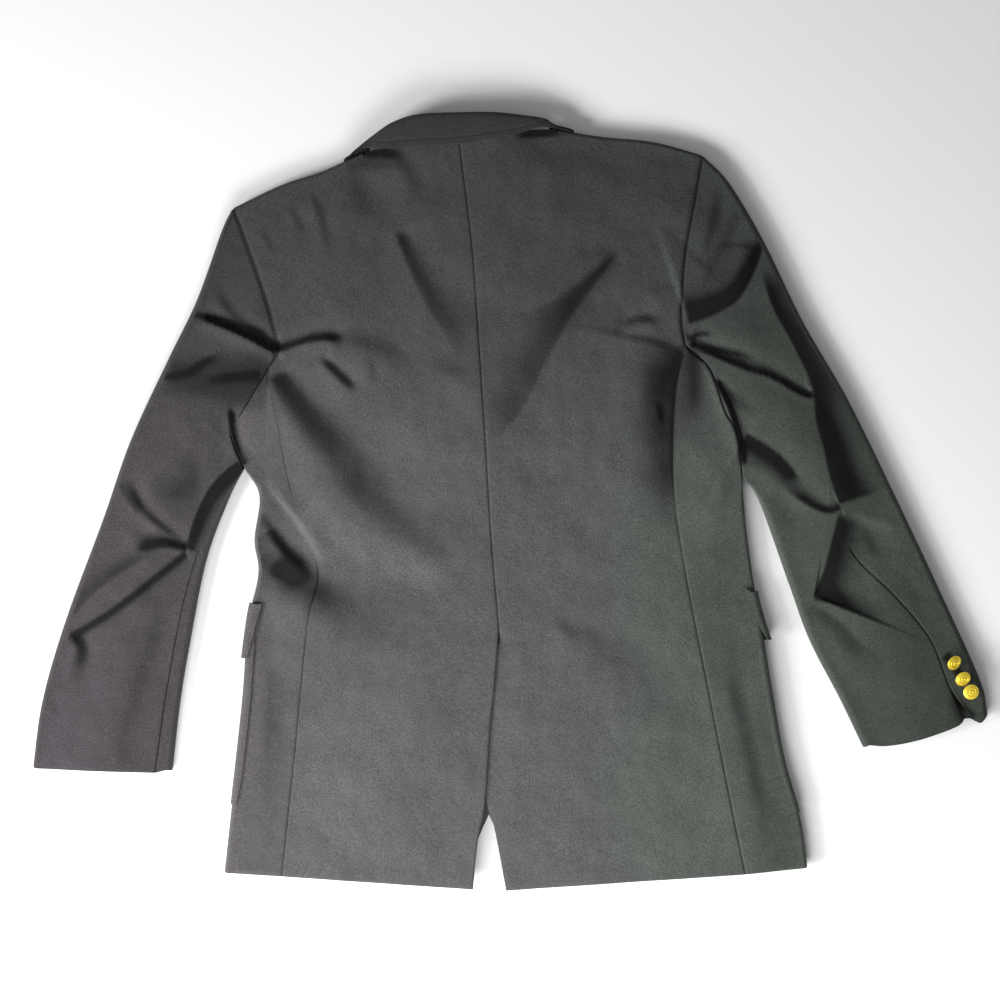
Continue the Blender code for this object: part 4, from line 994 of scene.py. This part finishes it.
def collar_line(first, out):
    """One of the collar's lines in space, from its place in plan and how far out it lies."""
    middle = np.full(len(collar_rows), COLLAR_MIDDLE)
    return np.column_stack([collar_rows[:, first], collar_rows[:, first + 1], middle]) + face * out[:, None]


fall_edge = collar_line(0, collar_rows[:, 2])
roll_edge = collar_line(3, collar_rows[:, 5])
width = np.linalg.norm(roll_edge - fall_edge, axis=1)[:, None]
in_share = np.concatenate([[0, 0.02, 0.05, 0.09], np.linspace(0.12, 0.26, 8), np.linspace(0.3, 0.84, 14),
                           [0.88, 0.92, 0.95, 0.975, 0.99, 1]])[None]
from_edge = in_share * width
swell = 0.7 * np.sin(math.pi * in_share) - 0.9 * np.exp(-((from_edge / 0.9) ** 2))
swell = swell - 0.5 * np.exp(-(((from_edge - STITCH_INSET) / 0.8) ** 2))
rolled = np.clip((in_share - 0.8) / 0.2, 0, 1)
swell = swell - 2.4 * (1 - np.sqrt(1 - rolled ** 2))
across_fall = in_share[..., None]
points = fall_edge[:, None] * (1 - across_fall) + roll_edge[:, None] * across_fall
points = points + face[:, None] * swell[..., None]
looks = np.repeat(face[:, None], points.shape[1], axis=1)
# The collar's colour is darker over all, with painted shade along its topstitching and its fall edge and a
# heavy painted shadow where its ends turn under
collar_dark = 0.30 + 0.3 * np.exp(-(((from_edge - STITCH_INSET) / 0.7) ** 2))
collar_dark = collar_dark + 0.3 * np.exp(-((from_edge / 2.6) ** 2))
collar_dark = collar_dark + 1.1 * (1 - smooth_step((collar_rows[:, 8] - 30) / 58))[:, None]
collar = shell("collar_fall", (points, looks, collar_dark), COLLAR_WALL)
dress(collar, "upper_collar")

under = collar_rows[:, 5] - COLLAR_WALL - 0.6
down = np.linspace(0, 1, 9)[None, :, None]
tucked = collar_line(6, under) + STAND_TUCK
points = collar_line(3, under)[:, None] * (1 - down) + tucked[:, None] * down
looks = np.repeat(face[:, None], points.shape[1], axis=1)
strip = (points[STAND_ROWS], looks[STAND_ROWS], np.zeros(points[STAND_ROWS].shape[:2]))
stand = shell("collar_stand_cloth", strip, TRIM_WALL)
dress(stand, "collar_stand")

# Its topstitching, one small bar of thread a stitch
run = np.concatenate([[0], np.cumsum(np.linalg.norm(np.diff(fall_edge, axis=0), axis=1))])
shown = np.flatnonzero(collar_rows[:, 8] > 60)
thread_vertices = []
thread_faces = []
box_faces = np.array([(0, 1, 3, 2), (4, 6, 7, 5), (0, 4, 5, 1), (2, 3, 7, 6), (0, 2, 6, 4), (1, 5, 7, 3)])
for start in np.arange(run[shown[0]], run[shown[-1]], STITCH_PITCH):
    ends = []
    for at in (start, start + STITCH_LENGTH):
        edge_point, roll_point, look = [
            np.array([np.interp(at, run, line[:, axis]) for axis in range(3)])
            for line in (fall_edge, roll_edge, face)]
        inward = (roll_point - edge_point) / np.linalg.norm(roll_point - edge_point)
        ends.append((edge_point + inward * STITCH_INSET + look * 0.35, inward, look))
    for end_point, inward, look in ends:
        for sideways in (-0.5, 0.5):
            for upward_by in (-0.35, 0.0):
                thread_vertices.append(end_point + inward * sideways * STITCH_WIDTH + look * upward_by)
    thread_faces.append(box_faces + 8 * len(thread_faces))
thread_mesh = bpy.data.meshes.new("collar_topstitch")
thread_places = (np.array(thread_vertices) + PLAN_SHIFT) * MM
thread_mesh.from_pydata(thread_places.tolist(), [], np.vstack(thread_faces).tolist())
topstitch = bpy.data.objects.new("collar_topstitch", thread_mesh)
bpy.context.scene.collection.objects.link(topstitch)
thread = Finish("dark thread")
thread.shader.inputs["Base Color"].default_value = (0.05, 0.048, 0.05, 1)
thread.shader.inputs["Roughness"].default_value = 0.7
thread_mesh.materials.append(thread.material)
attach(topstitch, "root")


# The lapels. Each is the facing of its front turned back below the collar, face down on the surface
# and out of sight, so they are plain, with a peaked outer edge.
LAPEL_CUT = {"left": ((0.087, 0.34), 0.0212), "right": ((0.06, 0.145), 0.0061)}
LAPEL_ROLL = {
    "left": [(-118, 300), (-60, 207), (40, 42), (52, 22)],
    "right": [(28, 322), (0, 258), (-20, 212), (-28, 194)],
}
LAPEL_OUTER = {
    "left": [(-128, 300), (-160, 265), (-137, 232), (-122, 150), (-62, 60), (38, 30)],
    "right": [(34, 322), (72, 296), (62, 262), (40, 240), (10, 205), (-22, 190)],
}
for wearer_side in ("left", "right"):
    down = np.linspace(0, 1, 61)
    across_shares = np.linspace(0, 1, 17)
    roll_line = line_at(LAPEL_ROLL[wearer_side], down)
    peak_line = line_at(LAPEL_OUTER[wearer_side], down)
    plan = patch_grid(roll_line, peak_line, straight(roll_line[0], peak_line[0], across_shares),
                      straight(roll_line[-1], peak_line[-1], across_shares), down, across_shares)
    lapel = shell("lapel_cloth_" + wearer_side, lift(plan, body_level, -1), TRIM_WALL, TRIM_GAP + TRIM_WALL)
    dress(lapel, "lapel_" + wearer_side)
    flat, area = LAPEL_CUT[wearer_side]


# The buttons. Gilt metal, a low dome with a raised rim, a ring and a boss. The three on the right cuff
# have a wire loop behind and hang loosely by their threads, so they lie tilted. The three on the left
# cuff and the six on the fronts lie flat underneath.
DOME = 0.97                       # shares of a button's radius
DOME_HEIGHT = 0.26
RELIEF = [
    # radius of the ring, its thickness, its height
    (0.93, 0.085, 0.02),
    (0.62, 0.035, 0.2),
    (0.2, 0.07, 0.25),
]
LOOP_RADIUS = 1.5                 # the wire loop, in millimetres
LOOP_WIRE = 0.45
LOOP_DROP = 1.0
BUTTONS = [
    # node, x, y, height of the middle, radius, thickness, tilt, the way it faces, faces up
    ("cuff_button_right_1", 443.2, -161.5, 5.2, 7.7, 1.0, 34, -40, 1),
    ("cuff_button_right_2", 452.0, -177.5, 5.0, 7.7, 1.0, 27, -62, 1),
    ("cuff_button_right_3", 460.0, -190.6, 5.4, 7.7, 1.0, 12, -75, 1),
    ("cuff_button_left_1", -444, -192, 1.7, 7.4, 0.45, 0, 0, -1),
    ("cuff_button_left_2", -448, -209, 1.7, 7.4, 0.45, 0, 0, -1),
    ("cuff_button_left_3", -452, -226, 1.7, 7.4, 0.45, 0, 0, -1),
    ("front_button_1", -120, 105, 1.7, 9.9, 0.35, 0, 0, -1),
    ("front_button_2", 92, 105, 1.7, 9.9, 0.35, 0, 0, -1),
    ("front_button_3", -74, -8, 1.7, 9.9, 0.35, 0, 0, -1),
    ("front_button_4", 36, -8, 1.7, 9.9, 0.35, 0, 0, -1),
    ("front_button_5", -67, -122, 1.7, 9.9, 0.35, 0, 0, -1),
    ("front_button_6", 45, -122, 1.7, 9.9, 0.35, 0, 0, -1),
]
gilt = Finish("gilt metal")
gilt_place = gilt.node("ShaderNodeTexCoord", {}, {}, "Object")
worn = gilt.ramp(gilt.noise(gilt_place, 900.0, 3.0), 0.35, 0.7)
gilt.feed(gilt.shader.inputs["Base Color"], gilt.mix(worn, (1.0, 0.80, 0.08, 1), (0.98, 0.70, 0.05, 1)))
gilt.feed(gilt.shader.inputs["Roughness"], 0.26 + 0.14 * worn)
gilt.shader.inputs["Metallic"].default_value = 0.55

for node, x, y, middle, radius, thick, tilt_by, facing_way, up in BUTTONS:
    seat = 0.0
    if up > 0:
        seat = top_height(np.array([x]), np.array([y]))[0][0]
    bpy.ops.object.select_all(action="DESELECT")
    made = []
    bpy.ops.mesh.primitive_uv_sphere_add(segments=40, ring_count=20, radius=radius * DOME)
    made.append(bpy.context.object)
    made[-1].scale = (1, 1, DOME_HEIGHT * thick)
    for major, minor, rise in RELIEF:
        bpy.ops.mesh.primitive_torus_add(major_radius=radius * major, minor_radius=radius * minor,
                                         major_segments=40, minor_segments=10,
                                         location=(0, 0, radius * rise * thick))
        made.append(bpy.context.object)
        made[-1].scale = (1, 1, min(1.0, 1.2 * thick))
    if up > 0:
        bpy.ops.mesh.primitive_torus_add(major_radius=LOOP_RADIUS, minor_radius=LOOP_WIRE,
                                         major_segments=16, minor_segments=6,
                                         rotation=(math.pi / 2, 0, 0),
                                         location=(0, 0, -DOME_HEIGHT * radius - LOOP_DROP))
        made.append(bpy.context.object)
    for part in made:
        part.select_set(True)
    bpy.context.view_layer.objects.active = made[0]
    bpy.ops.object.join()
    bpy.ops.object.transform_apply(location=True, rotation=True, scale=True)
    button = bpy.context.object
    button.name = node + "_gilt"
    lean = math.radians(facing_way)
    axis = (-math.sin(lean), math.cos(lean), 0)
    turn_by = Matrix.Rotation(math.radians(tilt_by), 4, axis)
    if up < 0:
        turn_by = Matrix.Rotation(math.pi, 4, "X")
    place_at = Matrix.Translation((x + PLAN_SHIFT[0], y + PLAN_SHIFT[1], seat + middle))
    button.data.transform(Matrix.Scale(MM, 4) @ place_at @ turn_by)
    bpy.ops.object.shade_smooth()
    button.data.materials.append(gilt.material)
    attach(button, "root")
    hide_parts(node)


# The surface it lies on, the light and the camera: plain pale paper, a wide soft light from the left, a
# weaker one from below the hem and an even one from all round, seen from straight above. None of it is
# part of the blazer.
EVEN_LIGHT = 0.27
CAMERA_PLACE = (-0.0105, 0.0015, 2.512)    # metres
SENSOR = 36                       # millimetres
LENS_LENGTHS = 2.5                # the lens is this many sensor widths long
bpy.ops.object.select_all(action="DESELECT")
bpy.ops.mesh.primitive_plane_add(size=8, location=(0, 0, 0))
floor = bpy.context.object
floor.name = "pale paper"
paper = Finish("pale paper")
paper.shader.inputs["Base Color"].default_value = (0.9, 0.9, 0.9, 1)
paper.shader.inputs["Roughness"].default_value = 0.95
floor.data.materials.append(paper.material)

LIGHTS = [
    # name, x, y, z, width, height, power
    ("side_light", -2.35, -1.0, 1.1, 1.0, 0.8, 98),
    ("low_light", -0.32, -1.02, 0.66, 1.1, 0.4, 18),
]
for name, x, y, z, wide, high, power in LIGHTS:
    bpy.ops.object.light_add(type="AREA", location=(x, y, z))
    lamp = bpy.context.object
    lamp.name = name
    lamp.data.shape = "RECTANGLE"
    lamp.data.size = wide
    lamp.data.size_y = high
    lamp.data.energy = power
    lean = math.acos(z / math.sqrt(x * x + y * y + z * z))
    lamp.rotation_euler = (lean, 0, math.atan2(y, x) + math.pi / 2)
sky = bpy.data.worlds.new("even light")
sky.use_nodes = True
sky.node_tree.nodes["Background"].inputs["Color"].default_value = (1, 1, 1, 1)
sky.node_tree.nodes["Background"].inputs["Strength"].default_value = EVEN_LIGHT
bpy.context.scene.world = sky

bpy.ops.object.camera_add(location=CAMERA_PLACE, rotation=(0, 0, 0))
camera = bpy.context.object
camera.data.sensor_width = SENSOR
camera.data.lens = SENSOR * LENS_LENGTHS
bpy.context.scene.camera = camera
bpy.context.scene.view_settings.view_transform = "Standard"
